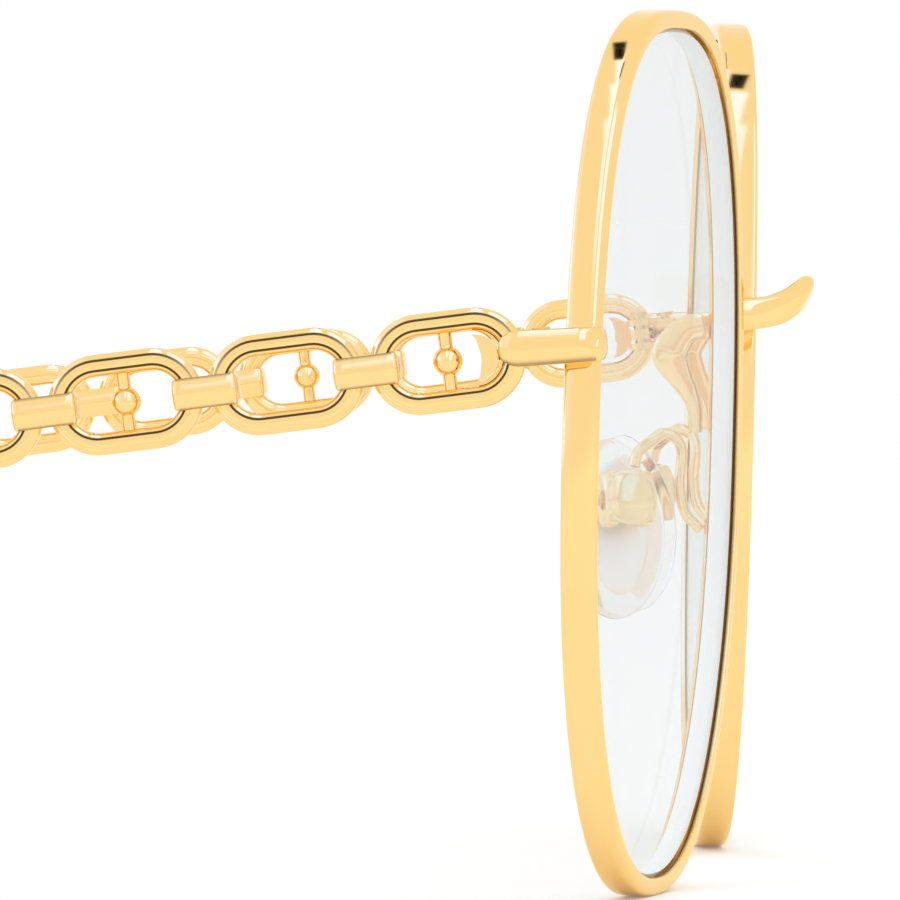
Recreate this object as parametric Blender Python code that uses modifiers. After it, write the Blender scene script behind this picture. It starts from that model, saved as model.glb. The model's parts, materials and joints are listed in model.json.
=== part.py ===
"""Round metal sunglasses with chain-link temples, modelled as separate pieces.

Lengths are in metres and +Z is up. The front faces -Y, the temples run to +Y, and the wearer's
right is at -X. The right half is modelled, and its pieces are then mirrored to the left.
"""

from math import copysign, cos, hypot, pi, radians, sin, sqrt

import bmesh
import bpy
from mathutils import Matrix, Vector

MM = 0.001

# Fits
SEAT_GAP = 0.3 * MM
PIN_GAP = 0.25 * MM
ROOT_DEPTH = 0.1 * MM

# Lens openings: each is a full round shape, a little squarer above than below
OPENING_WIDTH = 58.4 * MM
OPENING_HEIGHT = 58.75 * MM
SQUARENESS_ABOVE = 2.7
SQUARENESS_BELOW = 2.25
OUTLINE_STEPS = 54
NOSE_WIDTH = 17.0 * MM
WRAP = radians(6.0)
LEAN = radians(1.45)

# Rims
RIM_WALL = 1.25 * MM
RIM_DEPTH = 2.4 * MM
RIM_FRONT_ROUNDING = 0.5 * MM
RIM_BACK_ROUNDING = 0.35 * MM
GROOVE_DEPTH = 0.4 * MM
SPLIT_WIDTH = 0.3 * MM

# Lenses
LENS_THICKNESS = 1.5 * MM
LENS_RECESS = 0.45 * MM
LENS_BEVEL = 0.4 * MM

# Bridge and the claw behind each nasal rim
BRIDGE_HEIGHT = 2.3 * MM
BRIDGE_THICKNESS = 1.3 * MM
BRIDGE_BOW = 5.9 * MM
BRIDGE_RISE = 1.7 * MM
BRIDGE_RISE_POWER = 4
BRIDGE_TIP_LEAN = 0.4
BRIDGE_SQUARENESS = 0.9
BRIDGE_ABOVE_CENTRE = 9.3 * MM
BRIDGE_STEPS = 18
CLAW_THICKNESS = 0.8 * MM
CLAW_REACH = 2.45 * MM
CLAW_DROP = 7.5 * MM
CLAW_WIDTH = 2.7 * MM
CLAW_ABOVE_CENTRE = 8.4 * MM
CLAW_EDGE = 0.12 * MM

# Nose pads
PAD_HEIGHT = 13.0 * MM
PAD_WIDTH = 7.6 * MM
PAD_THICKNESS = 2.4 * MM
PAD_TURN = radians(22.0)
PAD_SPLAY = radians(9.0)
PAD_BELOW_PIVOT = 1.7 * MM
PAD_PIVOT_X = 10.3 * MM
PAD_PIVOT_Y = 5.0 * MM
PAD_PIVOT_BELOW_CENTRE = 3.8 * MM
PAD_BOX_WIDTH = 3.8 * MM
PAD_BOX_HEIGHT = 4.0 * MM
PAD_BOX_FRONT = 1.1 * MM
PAD_BOX_BACK = 2.0 * MM
PAD_BOX_ROUNDING = 0.8 * MM
PAD_LUG_THICKNESS = 0.8 * MM
PAD_LUG_RADIUS = 1.3 * MM
PAD_SCREW_RADIUS = 0.4 * MM
PAD_SCREW_HEAD_RADIUS = 0.75 * MM
PAD_SCREW_HEAD = 0.5 * MM
INSERT_HEIGHT = 9.8 * MM
INSERT_WIDTH = 4.6 * MM
INSERT_THICKNESS = 0.5 * MM
INSERT_GAP = 0.6 * MM
ARM_WIRE_RADIUS = 0.4 * MM
ARM_FOOT_BELOW_CENTRE = 6.05 * MM
ARM_LOOP_RISE = 2.3 * MM
ARM_LOOP_REACH = 2.6 * MM

# Hinges
HINGE_ABOVE_CENTRE = 7.17 * MM
HINGE_BEHIND_RIM = 3.45 * MM
HINGE_INSIDE_RIM = 0.6 * MM
HINGE_PIN_RADIUS = 0.35 * MM
HINGE_PIN_HEAD_RADIUS = 0.75 * MM
KNUCKLE_RADIUS = 1.0 * MM
MIDDLE_KNUCKLE = 0.8 * MM
OUTER_KNUCKLE = 0.5 * MM
LOCK_WIDTH = 2.0 * MM
LOCK_DEPTH = 1.6 * MM
LOCK_HEIGHT = 0.8 * MM
LOCK_EDGE = 0.15 * MM
LOCK_SCREW_RADIUS = 0.35 * MM
LOCK_SCREW_HEAD_RADIUS = 0.65 * MM
SCREW_HEAD = 0.25 * MM
LEAF_ARM = 0.8 * MM

# End pieces
END_HEIGHT = 2.5 * MM
END_NUB_HEIGHT = 2.05 * MM
END_BLOCK_HEIGHT = 1.9 * MM
END_THICKNESS = 1.1 * MM
END_PLATE = 0.75 * MM
END_OVERLAP = 0.7 * MM
END_HOOK = 0.75 * MM
END_SLOPE = radians(3.5)
END_BEND_RADIUS = 1.9 * MM
END_BEND_STEPS = 6

# Chain-link temples
TEMPLE_SLOPE = radians(7.2)
LINK_COUNT = 6
LINK_LENGTH = 10.5 * MM
LINK_HEIGHT = 6.75 * MM
LINK_BAND = 1.5 * MM
LINK_THICKNESS = 1.6 * MM
LINK_CHAMFER = 0.35 * MM
LINK_SPACE = 0.4 * MM
LINK_ARC_STEPS = 6
FIRST_LINK_AHEAD = 1.0 * MM
END_BAR = 0.9 * MM
STUD_WIDTH = 0.9 * MM
STUD_BEAD_RADIUS = 1.0 * MM
CONNECTOR_LENGTH = 4.4 * MM
CONNECTOR_HEIGHT = 2.3 * MM
CONNECTOR_WALL = 0.5 * MM

# Temple arms and tips
ARM_LOOP_LENGTH = 7.2 * MM
ARM_RADIUS = 0.8 * MM
TEMPLE_LENGTH = 142.0 * MM
EAR_BEND_START = 94.0 * MM
EAR_BEND_RADIUS = 32.0 * MM
EAR_BEND_STEPS = 6
SLEEVE_START = 82.0 * MM
SLEEVE_HALF_HEIGHT = 2.0 * MM
SLEEVE_HALF_WIDTH = 1.65 * MM
SLEEVE_END_WALL = 2.5 * MM
SLEEVE_ROUNDING = 0.8 * MM

# Facets
ROUND_STEPS = 16
SMALL_STEPS = 12
BAR_FULLNESS = 2.6
BARREL_FULLNESS = 3.2
BARREL_STATIONS = ((-1.0, 0.62), (-0.92, 0.87), (-0.75, 1.0), (0.75, 1.0), (0.92, 0.87), (1.0, 0.62))
WIRE_RESOLUTION = 1
BORE_STEPS = 8

MIRROR = Matrix.Scale(-1.0, 4, Vector((1.0, 0.0, 0.0)))
UPRIGHT = Matrix.Rotation(pi / 2, 4, "X")
SIDEWAYS = Matrix(((0, 0, 1, 0), (1, 0, 0, 0), (0, 1, 0, 0), (0, 0, 0, 1)))

for old in list(bpy.data.objects):
    bpy.data.objects.remove(old)

model = bpy.data.collections.new("round_sunglasses")
bpy.context.scene.collection.children.link(model)


def make_material(name, colour, metallic, roughness, alpha=1.0):
    material = bpy.data.materials.new(name)
    material.use_nodes = True
    shader = material.node_tree.nodes["Principled BSDF"]
    shader.inputs["Base Color"].default_value = (*colour, 1.0)
    shader.inputs["Metallic"].default_value = metallic
    shader.inputs["Roughness"].default_value = roughness
    shader.inputs["Alpha"].default_value = alpha
    return material


GOLD = make_material("polished_pale_gold", (0.87, 0.62, 0.24), 1.0, 0.12)
SCREW_GOLD = make_material("screw_gold", (0.78, 0.55, 0.22), 1.0, 0.25)
LENS = make_material("clear_tinted_lens", (0.86, 0.90, 0.92), 0.0, 0.03, 0.25)
SILICONE = make_material("clear_silicone", (0.93, 0.91, 0.87), 0.0, 0.2, 0.5)
TIP_PLASTIC = make_material("champagne_acetate", (0.72, 0.56, 0.36), 0.0, 0.25)


def make_frame(name, matrix, parent=None):
    """An empty that carries the pieces of one frame; matrix is given in its parent's frame."""
    empty = bpy.data.objects.new(name, None)
    model.objects.link(empty)
    empty.parent = parent
    empty.matrix_local = matrix
    return empty


def mesh_of(tool):
    """The closed mesh that an object's modifiers or curve settings give."""
    bpy.context.view_layer.update()
    graph = bpy.context.evaluated_depsgraph_get()
    mesh = bpy.data.meshes.new_from_object(tool.evaluated_get(graph))
    shape = bmesh.new()
    shape.from_mesh(mesh)
    bmesh.ops.remove_doubles(shape, verts=shape.verts, dist=0.002 * MM)
    bmesh.ops.recalc_face_normals(shape, faces=shape.faces)
    shape.to_mesh(mesh)
    shape.free()
    return mesh


def settle(tool, matrix=None):
    """Replaces a tool object by a plain mesh object, moved by matrix."""
    mesh = mesh_of(tool)
    mesh.transform(matrix or Matrix())
    name = tool.name
    bpy.data.objects.remove(tool)
    solid = bpy.data.objects.new(name, mesh)
    bpy.context.scene.collection.objects.link(solid)
    return solid


def combine(solid, tools, operation):
    for tool in tools:
        step = solid.modifiers.new("combine", "BOOLEAN")
        step.operation = operation
        step.solver = "EXACT"
        step.object = tool
    result = settle(solid)
    for tool in tools:
        bpy.data.objects.remove(tool)
    return result


def cut(solid, *cutters):
    return combine(solid, cutters, "DIFFERENCE")


def join(solid, *others):
    return combine(solid, others, "UNION")


def keep_common(solid, *others):
    return combine(solid, others, "INTERSECT")


def box(low, high):
    """A box between two corners."""
    low, high = Vector(low), Vector(high)
    bpy.ops.mesh.primitive_cube_add(size=1.0)
    solid = bpy.context.object
    solid.data.transform(Matrix.Translation((low + high) / 2) @ Matrix.Diagonal((*(high - low), 1.0)))
    return solid


def rod(radius, start, end, steps=ROUND_STEPS):
    """A round bar between two points."""
    start, end = Vector(start), Vector(end)
    axis = end - start
    bpy.ops.mesh.primitive_cylinder_add(radius=radius, depth=axis.length, vertices=steps)
    solid = bpy.context.object
    turn = axis.to_track_quat("Z", "Y").to_matrix().to_4x4()
    solid.data.transform(Matrix.Translation((start + end) / 2) @ turn)
    return solid


def soften(solid, width, segments=2, angle=radians(35.0)):
    bevel = solid.modifiers.new("soften", "BEVEL")
    bevel.width = width
    bevel.segments = segments
    bevel.limit_method = "ANGLE"
    bevel.angle_limit = angle
    return settle(solid)


def flat_curve(name, points, closed=True):
    curve = bpy.data.curves.new(name, "CURVE")
    curve.dimensions = "2D"
    curve.fill_mode = "NONE"
    spline = curve.splines.new("POLY")
    spline.points.add(len(points) - 1)
    for place, (x, y) in zip(spline.points, points):
        place.co = (x, y, 0.0, 1.0)
    spline.use_cyclic_u = closed
    guide = bpy.data.objects.new(name, curve)
    bpy.context.scene.collection.objects.link(guide)
    return guide


def plate(points, thickness, matrix=None, edge=0.0):
    """A filled outline of the given thickness, whose edge swells outward by edge at 45 degrees."""
    guide = flat_curve("plate", points)
    guide.data.fill_mode = "BOTH"
    guide.data.extrude = thickness / 2 - edge
    guide.data.bevel_depth = edge
    guide.data.bevel_resolution = 0
    return settle(guide, matrix)


def profile_sweep(path, section, closed, matrix=None):
    """A section swept along a flat path. The section's +x lies to the left of the path's direction."""
    guide = flat_curve("path", path, closed)
    profile = flat_curve("section", section)
    guide.data.bevel_mode = "OBJECT"
    guide.data.bevel_object = profile
    guide.data.use_fill_caps = not closed
    solid = settle(guide, matrix)
    bpy.data.objects.remove(profile)
    return solid


def wire(points, radius):
    """A round wire through points in space."""
    curve = bpy.data.curves.new("wire", "CURVE")
    curve.dimensions = "3D"
    curve.bevel_depth = radius
    curve.bevel_resolution = WIRE_RESOLUTION
    curve.use_fill_caps = True
    spline = curve.splines.new("POLY")
    spline.points.add(len(points) - 1)
    for place, point in zip(spline.points, points):
        place.co = (*point, 1.0)
    guide = bpy.data.objects.new("wire", curve)
    bpy.context.scene.collection.objects.link(guide)
    return settle(guide)


def superellipse(width, height, fullness, steps=SMALL_STEPS):
    """Points of the closed curve |2x/width|^fullness + |2y/height|^fullness = 1, by polar angle."""
    points = []
    for step in range(steps):
        angle = 2 * pi * (step + 0.5) / steps
        reach = (abs(2 * cos(angle) / width) ** fullness
                 + abs(2 * sin(angle) / height) ** fullness) ** (-1 / fullness)
        points.append((reach * cos(angle), reach * sin(angle)))
    return points


def loft(rings):
    """A solid through rings of the same number of points, closed by a face at each end."""
    shape = bmesh.new()
    rows = [[shape.verts.new(point) for point in ring] for ring in rings]
    for row, following in zip(rows, rows[1:]):
        for side in range(len(row)):
            before = side - 1
            shape.faces.new((row[before], row[side], following[side], following[before]))
    shape.faces.new(rows[0])
    shape.faces.new(rows[-1])
    bmesh.ops.recalc_face_normals(shape, faces=shape.faces)
    mesh = bpy.data.meshes.new("loft")
    shape.to_mesh(mesh)
    shape.free()
    solid = bpy.data.objects.new("loft", mesh)
    bpy.context.scene.collection.objects.link(solid)
    return solid


def bar_rings(path, ups, sections):
    """Rings for a bar along a path in space; a section's x lies across the bar and its y along up."""
    rings = []
    for index, (here, up, section) in enumerate(zip(path, ups, sections)):
        along = path[min(index + 1, len(path) - 1)] - path[max(index - 1, 0)]
        side = up.cross(along).normalized()
        rings.append([here + side * x + up * y for x, y in section])
    return rings


def smooth_route(points, steps):
    """A Catmull-Rom curve through points, with the given number of steps in each span."""
    points = [Vector(point) for point in points]
    ends = [2 * points[0] - points[1]] + points + [2 * points[-1] - points[-2]]
    route = []
    for before, start, end, after in zip(ends, ends[1:], ends[2:], ends[3:]):
        for step in range(steps):
            t = step / steps
            route.append(0.5 * (2 * start + (end - before) * t
                                + (2 * before - 5 * start + 4 * end - after) * t ** 2
                                + (3 * start - before - 3 * end + after) * t ** 3))
    return route + [points[-1]]


def add_piece(name, solid, frame, material):
    """Names a solid, shades it and hangs it under its frame."""
    solid.name = name
    solid.data.name = name
    solid.data.materials.clear()
    solid.data.materials.append(material)
    solid.data.shade_smooth()
    solid.data.set_sharp_from_angle(angle=radians(32.0))
    for holder in list(solid.users_collection):
        holder.objects.unlink(solid)
    model.objects.link(solid)
    solid.parent = frame
    return solid


def squareness(height):
    return SQUARENESS_ABOVE if height >= 0 else SQUARENESS_BELOW


def opening_half_width(height):
    """Half the opening's width at a height above the lens centre."""
    power = squareness(height)
    return OPENING_WIDTH / 2 * (1 - abs(2 * height / OPENING_HEIGHT) ** power) ** (1 / power)


def opening_outline(offset=0.0):
    """The lens opening's outline, anticlockwise, moved outward by offset."""
    loop = []
    for step in range(OUTLINE_STEPS):
        angle = 2 * pi * step / OUTLINE_STEPS
        power = squareness(sin(angle))
        reach = (abs(2 * cos(angle) / OPENING_WIDTH) ** power
                 + abs(2 * sin(angle) / OPENING_HEIGHT) ** power) ** (-1 / power)
        loop.append(Vector((reach * cos(angle), reach * sin(angle))))
    moved = []
    for before, here, after in zip(loop[-1:] + loop, loop, loop[1:] + loop[:1]):
        along = (after - before).normalized()
        moved.append(here + offset * Vector((along.y, -along.x)))
    return moved


# Frames: the lens plane of the right rim, and the axes of the right hinge and nose pad
rim_centre_x = NOSE_WIDTH / 2 + OPENING_WIDTH / 2 * cos(WRAP)
RIGHT_RIM = (Matrix.Translation((-rim_centre_x, 0.0, 0.0))
             @ Matrix.Rotation(-WRAP, 4, "Z") @ Matrix.Rotation(LEAN, 4, "X"))

hinge_side = -opening_half_width(HINGE_ABOVE_CENTRE) - RIM_WALL
rim_back_corner = RIGHT_RIM @ Vector((hinge_side, RIM_DEPTH, HINGE_ABOVE_CENTRE))
hinge_place = rim_back_corner + Vector((HINGE_INSIDE_RIM, HINGE_BEHIND_RIM, 0.0))
RIGHT_HINGE = Matrix.Translation(hinge_place) @ Matrix.Rotation(-TEMPLE_SLOPE, 4, "X")
RIGHT_END = Matrix.Translation(hinge_place) @ Matrix.Rotation(-END_SLOPE, 4, "X")
RIGHT_PAD = (Matrix.Translation((-PAD_PIVOT_X, PAD_PIVOT_Y, -PAD_PIVOT_BELOW_CENTRE))
             @ Matrix.Rotation(PAD_TURN, 4, "Z") @ Matrix.Rotation(PAD_SPLAY, 4, "Y"))

root = make_frame("sunglasses", Matrix())
right_rim = make_frame("right_rim_frame", RIGHT_RIM, root)
right_end = make_frame("right_end_frame", RIGHT_END, root)
right_hinge = make_frame("right_hinge_axis", RIGHT_HINGE, root)
right_pad = make_frame("right_pad_axis", RIGHT_PAD, root)
FRAMES = (right_rim, right_end, right_hinge, right_pad)


# Rims and lenses
lens_middle = LENS_RECESS + LENS_THICKNESS / 2
lens_flat = LENS_THICKNESS / 2 - LENS_BEVEL
groove_mouth = LENS_THICKNESS / 2 - SEAT_GAP + SEAT_GAP * sqrt(2)
groove_floor = groove_mouth - GROOVE_DEPTH


def rim_section():
    """The rim's section: (outward from the opening's edge, back from the front face)."""
    return [
        (0.0, 0.0),
        (RIM_WALL - 1.4 * RIM_FRONT_ROUNDING, 0.0),
        (RIM_WALL - 0.5 * RIM_FRONT_ROUNDING, 0.5 * RIM_FRONT_ROUNDING),
        (RIM_WALL, 1.7 * RIM_FRONT_ROUNDING),
        (RIM_WALL, RIM_DEPTH - 1.7 * RIM_BACK_ROUNDING),
        (RIM_WALL - 0.4 * RIM_BACK_ROUNDING, RIM_DEPTH - 0.5 * RIM_BACK_ROUNDING),
        (RIM_WALL - 1.1 * RIM_BACK_ROUNDING, RIM_DEPTH),
        (0.0, RIM_DEPTH),
        (0.0, lens_middle + groove_mouth),
        (GROOVE_DEPTH, lens_middle + groove_floor),
        (GROOVE_DEPTH, lens_middle - groove_floor),
        (0.0, lens_middle - groove_mouth),
    ]


def make_rim():
    section = [(-outward, -back) for outward, back in rim_section()]
    rim = profile_sweep(opening_outline(), section, True, UPRIGHT)
    split = box((2 * hinge_side, -RIM_DEPTH, HINGE_ABOVE_CENTRE - SPLIT_WIDTH / 2),
                (0.0, 2 * RIM_DEPTH, HINGE_ABOVE_CENTRE + SPLIT_WIDTH / 2))
    return cut(rim, split)


def make_lens():
    place = Matrix.Translation((0.0, lens_middle, 0.0)) @ UPRIGHT
    return plate(opening_outline(-SEAT_GAP), LENS_THICKNESS, place, LENS_BEVEL)


add_piece("rim_right", make_rim(), right_rim, GOLD)
add_piece("lens_right", make_lens(), right_rim, LENS)


# Bridge
nasal_wall = RIGHT_RIM @ Vector((opening_half_width(BRIDGE_ABOVE_CENTRE) + RIM_WALL,
                                 RIM_DEPTH, BRIDGE_ABOVE_CENTRE))


def make_bridge():
    """A bar that leaves the nasal walls and bows forward, and whose middle curls up and leans forward."""
    half_span = -nasal_wall.x - SEAT_GAP - BRIDGE_THICKNESS / 2
    section = superellipse(BRIDGE_THICKNESS, BRIDGE_HEIGHT, BAR_FULLNESS)
    path, ups = [], []
    for step in range(BRIDGE_STEPS + 1):
        angle = pi * step / BRIDGE_STEPS
        ahead = sin(angle) ** BRIDGE_SQUARENESS
        aside = copysign(abs(cos(angle)) ** BRIDGE_SQUARENESS, cos(angle))
        rise = ahead ** BRIDGE_RISE_POWER
        path.append(Vector((-half_span * aside,
                            nasal_wall.y - SEAT_GAP - BRIDGE_BOW * ahead,
                            BRIDGE_ABOVE_CENTRE + BRIDGE_RISE * rise)))
        ups.append(Vector((0.0, -BRIDGE_TIP_LEAN * rise, 1.0)).normalized())
    return loft(bar_rings(path, ups, [section] * len(path)))


# The claw's middle line and width, as shares of its reach behind the rim, its drop and its full width
CLAW_SPINE = ((0.04, 0.0, 0.67), (0.49, 0.03, 0.8), (0.86, 0.155, 0.945), (1.0, 0.285, 1.0),
              (0.735, 0.46, 0.74), (0.455, 0.61, 0.555), (0.255, 0.77, 0.425), (0.205, 1.0, 0.37))


def make_claw():
    """A ribbon that leaves the rim's back at the bridge's height, swells, and curls down to it again."""
    route = smooth_route([(behind * CLAW_REACH, -down * CLAW_DROP, share * CLAW_WIDTH)
                          for behind, down, share in CLAW_SPINE], 2)
    left, right = [], []
    for index, here in enumerate(route):
        along = route[min(index + 1, len(route) - 1)] - route[max(index - 1, 0)]
        side = Vector((-along.y, along.x)).normalized() * here.z / 2
        left.append(here.xy + side)
        right.append(here.xy - side)
    behind_wall = opening_half_width(CLAW_ABOVE_CENTRE) + RIM_WALL / 2
    place = Matrix.Translation((behind_wall, RIM_DEPTH + SEAT_GAP, CLAW_ABOVE_CENTRE)) @ SIDEWAYS
    return plate(left + right[::-1], CLAW_THICKNESS, place, CLAW_EDGE)


add_piece("bridge", make_bridge(), root, GOLD)
add_piece("bridge_claw_right", make_claw(), right_rim, GOLD)


# Nose pad, its insert, box, screw and arm, in the pad's frame: +X to the nose, +Y back, +Z up
pin_hole = PAD_SCREW_RADIUS + PIN_GAP
insert_face = PAD_BOX_FRONT + INSERT_GAP


def oval(height, width, top_share=1.0, steps=16):
    """An upright oval whose top half is narrowed to top_share of its width."""
    points = []
    for step in range(steps):
        angle = 2 * pi * step / steps
        share = top_share if sin(angle) > 0 else 1.0
        narrowing = 1.0 - (1.0 - share) * abs(sin(angle)) ** 2
        points.append((width / 2 * cos(angle) * narrowing, height / 2 * sin(angle)))
    return points


def make_insert():
    middle = insert_face + INSERT_THICKNESS / 2
    leaf = plate(oval(INSERT_HEIGHT, INSERT_WIDTH, 0.8), INSERT_THICKNESS,
                 Matrix.Translation((middle, 0.0, -PAD_BELOW_PIVOT)) @ SIDEWAYS)
    half = PAD_LUG_THICKNESS / 2
    tongue = box((0.0, -half, -PAD_LUG_RADIUS), (middle, half, PAD_LUG_RADIUS))
    eye = rod(PAD_LUG_RADIUS, (0.0, -half, 0.0), (0.0, half, 0.0), SMALL_STEPS)
    hole = rod(pin_hole, (0.0, -PAD_BOX_WIDTH, 0.0), (0.0, PAD_BOX_WIDTH, 0.0), SMALL_STEPS)
    return cut(join(leaf, tongue, eye), hole)


def make_pad():
    swell = 0.32 * PAD_THICKNESS
    middle = insert_face + PAD_THICKNESS / 2
    place = Matrix.Translation((middle, 0.0, -PAD_BELOW_PIVOT)) @ SIDEWAYS
    pad = plate(oval(PAD_HEIGHT - 2 * swell, PAD_WIDTH - 2 * swell, 0.8), PAD_THICKNESS, place, swell)
    pad = soften(pad, 0.3 * swell, 1, radians(25.0))
    recess = plate(oval(INSERT_HEIGHT + 2 * SEAT_GAP, INSERT_WIDTH + 2 * SEAT_GAP, 0.8),
                   2 * (INSERT_THICKNESS + SEAT_GAP),
                   Matrix.Translation((insert_face, 0.0, -PAD_BELOW_PIVOT)) @ SIDEWAYS)
    return cut(pad, recess)


def make_pad_box():
    half = PAD_BOX_WIDTH / 2
    slot_half = PAD_LUG_THICKNESS / 2 + SEAT_GAP
    housing = box((-PAD_BOX_BACK, -half, -PAD_BOX_HEIGHT / 2), (PAD_BOX_FRONT, half, PAD_BOX_HEIGHT / 2))
    housing = soften(housing, PAD_BOX_ROUNDING, 2)
    slot = box((-PAD_LUG_RADIUS - SEAT_GAP, -slot_half, -PAD_BOX_HEIGHT),
               (2 * PAD_BOX_FRONT, slot_half, PAD_LUG_RADIUS + SEAT_GAP))
    hole = rod(pin_hole, (0.0, -PAD_BOX_WIDTH, 0.0), (0.0, PAD_BOX_WIDTH, 0.0), SMALL_STEPS)
    return cut(housing, slot, hole)


def make_pad_screw():
    head_start = PAD_BOX_WIDTH / 2 + SEAT_GAP
    head_end = head_start + PAD_SCREW_HEAD
    shank = rod(PAD_SCREW_RADIUS, (0.0, -PAD_BOX_WIDTH / 2, 0.0),
                (0.0, head_start + ROOT_DEPTH, 0.0), BORE_STEPS)
    head = rod(PAD_SCREW_HEAD_RADIUS, (0.0, head_start, 0.0), (0.0, head_end, 0.0), SMALL_STEPS)
    return join(shank, head)


def make_pad_arm():
    """The gooseneck wire from the nasal rim's back, up over its loop and down to the box."""
    box_top = RIGHT_PAD @ Vector((-0.4 * PAD_BOX_BACK, -0.15 * PAD_BOX_WIDTH,
                                  PAD_BOX_HEIGHT / 2 + SEAT_GAP))
    foot = RIGHT_RIM @ Vector((opening_half_width(-ARM_FOOT_BELOW_CENTRE) + RIM_WALL / 2,
                               RIM_DEPTH + SEAT_GAP, -ARM_FOOT_BELOW_CENTRE))
    loop_top = Vector(((box_top.x + 2 * foot.x) / 3, foot.y + ARM_LOOP_REACH, box_top.z + ARM_LOOP_RISE))
    route = [foot,
             foot + Vector((0.0, 1.1 * MM, 1.3 * MM)),
             foot + Vector((-0.1 * MM, 1.45 * MM, 3.2 * MM)),
             foot + Vector((-0.1 * MM, 1.3 * MM, 5.4 * MM)),
             loop_top + Vector((0.2 * MM, -0.95 * MM, -0.4 * MM)),
             loop_top,
             loop_top + Vector((-0.3 * MM, 0.7 * MM, -0.45 * MM)),
             box_top + Vector((0.1 * MM, -0.3 * MM, 1.0 * MM)),
             box_top]
    return wire(smooth_route(route, 3), ARM_WIRE_RADIUS)


add_piece("nose_pad_right", make_pad(), right_pad, SILICONE)
add_piece("pad_insert_right", make_insert(), right_pad, GOLD)
add_piece("pad_box_right", make_pad_box(), right_pad, GOLD)
add_piece("pad_screw_right", make_pad_screw(), right_pad, SCREW_GOLD)
add_piece("pad_arm_right", make_pad_arm(), root, GOLD)


# Hinge, in the hinge's frame: the pin is the Z axis and the temple runs along +Y
middle_half = MIDDLE_KNUCKLE / 2
outer_low = middle_half + PIN_GAP
outer_high = outer_low + OUTER_KNUCKLE
link_offset = -(KNUCKLE_RADIUS + SEAT_GAP + LINK_THICKNESS / 2)
pin_bore = HINGE_PIN_RADIUS + PIN_GAP
swing = hypot(LINK_THICKNESS / 2 - link_offset, FIRST_LINK_AHEAD) + SEAT_GAP
lock_low = SPLIT_WIDTH / 2
lock_front = -HINGE_BEHIND_RIM + 2 * SEAT_GAP
lock_back = lock_front + LOCK_DEPTH
lock_screw_y = (lock_front + lock_back) / 2


def make_lock(up):
    """One half of the rim lock, with its hinge knuckle; up is 1 for the upper half and -1 below."""
    half = LOCK_WIDTH / 2
    block = box((-half, lock_front, lock_low), (half, lock_back, lock_low + LOCK_HEIGHT))
    block = soften(block, LOCK_EDGE, 1)
    arm_inset = 0.1 * OUTER_KNUCKLE
    arm = box((-0.7 * half, lock_back - 2 * LOCK_EDGE, outer_low + arm_inset),
              (0.7 * half, 0.0, outer_high - arm_inset))
    knuckle = rod(KNUCKLE_RADIUS, (0.0, 0.0, outer_low), (0.0, 0.0, outer_high))
    bore = rod(pin_bore, (0.0, 0.0, -outer_high), (0.0, 0.0, 2 * outer_high), SMALL_STEPS)
    screw_hole = rod(LOCK_SCREW_RADIUS + PIN_GAP, (0.0, lock_screw_y, -outer_high),
                     (0.0, lock_screw_y, 2 * outer_high), SMALL_STEPS)
    lock = cut(join(block, arm, knuckle), bore, screw_hole)
    lock.data.transform(Matrix.Diagonal((1.0, 1.0, up, 1.0)))
    if up < 0:
        lock.data.flip_normals()
    return lock


def make_screw(radius, head_radius, low, high, y):
    """A small screw along Z with its head on top."""
    shank = rod(radius, (0.0, y, low), (0.0, y, high + ROOT_DEPTH), BORE_STEPS)
    head = rod(head_radius, (0.0, y, high), (0.0, y, high + SCREW_HEAD), SMALL_STEPS)
    return join(shank, head)


def make_temple_leaf():
    """The middle knuckle, and the waisted block that seats inside the first link's front end."""
    knuckle = rod(KNUCKLE_RADIUS, (0.0, 0.0, -middle_half), (0.0, 0.0, middle_half), ROUND_STEPS)
    arc_centre = -FIRST_LINK_AHEAD + LINK_HEIGHT / 2
    seat_radius = LINK_HEIGHT / 2 - LINK_BAND - SEAT_GAP
    seat_half = 0.4 * LINK_THICKNESS
    block = rod(seat_radius, (link_offset - seat_half, arc_centre, 0.0),
                (link_offset + seat_half, arc_centre, 0.0))
    waist = rod(2 * seat_radius, (2 * link_offset, arc_centre + 1.7 * seat_radius, 0.0),
                (0.0, arc_centre + 1.7 * seat_radius, 0.0))
    block = cut(block, waist)
    arm_start = arc_centre - 0.75 * seat_radius
    arm_end = arm_start + LEAF_ARM
    arm_half = 0.9 * middle_half
    arm = box((-0.9 * KNUCKLE_RADIUS, 0.0, -arm_half), (-0.2 * KNUCKLE_RADIUS, arm_end, arm_half))
    crank = box((link_offset, arm_start, -arm_half), (-0.5 * KNUCKLE_RADIUS, arm_end, arm_half))
    leaf = join(knuckle, arm, crank, block)
    return cut(leaf, rod(pin_bore, (0.0, 0.0, -MIDDLE_KNUCKLE), (0.0, 0.0, MIDDLE_KNUCKLE), SMALL_STEPS))


add_piece("rim_lock_upper_right", make_lock(1), right_hinge, GOLD)
add_piece("rim_lock_lower_right", make_lock(-1), right_hinge, GOLD)
add_piece("lock_screw_right", make_screw(LOCK_SCREW_RADIUS, LOCK_SCREW_HEAD_RADIUS, -lock_low - LOCK_HEIGHT,
                                         lock_low + LOCK_HEIGHT + PIN_GAP, lock_screw_y),
          right_hinge, SCREW_GOLD)
add_piece("hinge_screw_right", make_screw(HINGE_PIN_RADIUS, HINGE_PIN_HEAD_RADIUS, -outer_high,
                                          outer_high + PIN_GAP, 0.0), right_hinge, SCREW_GOLD)
add_piece("temple_leaf_right", make_temple_leaf(), right_hinge, GOLD)


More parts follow.
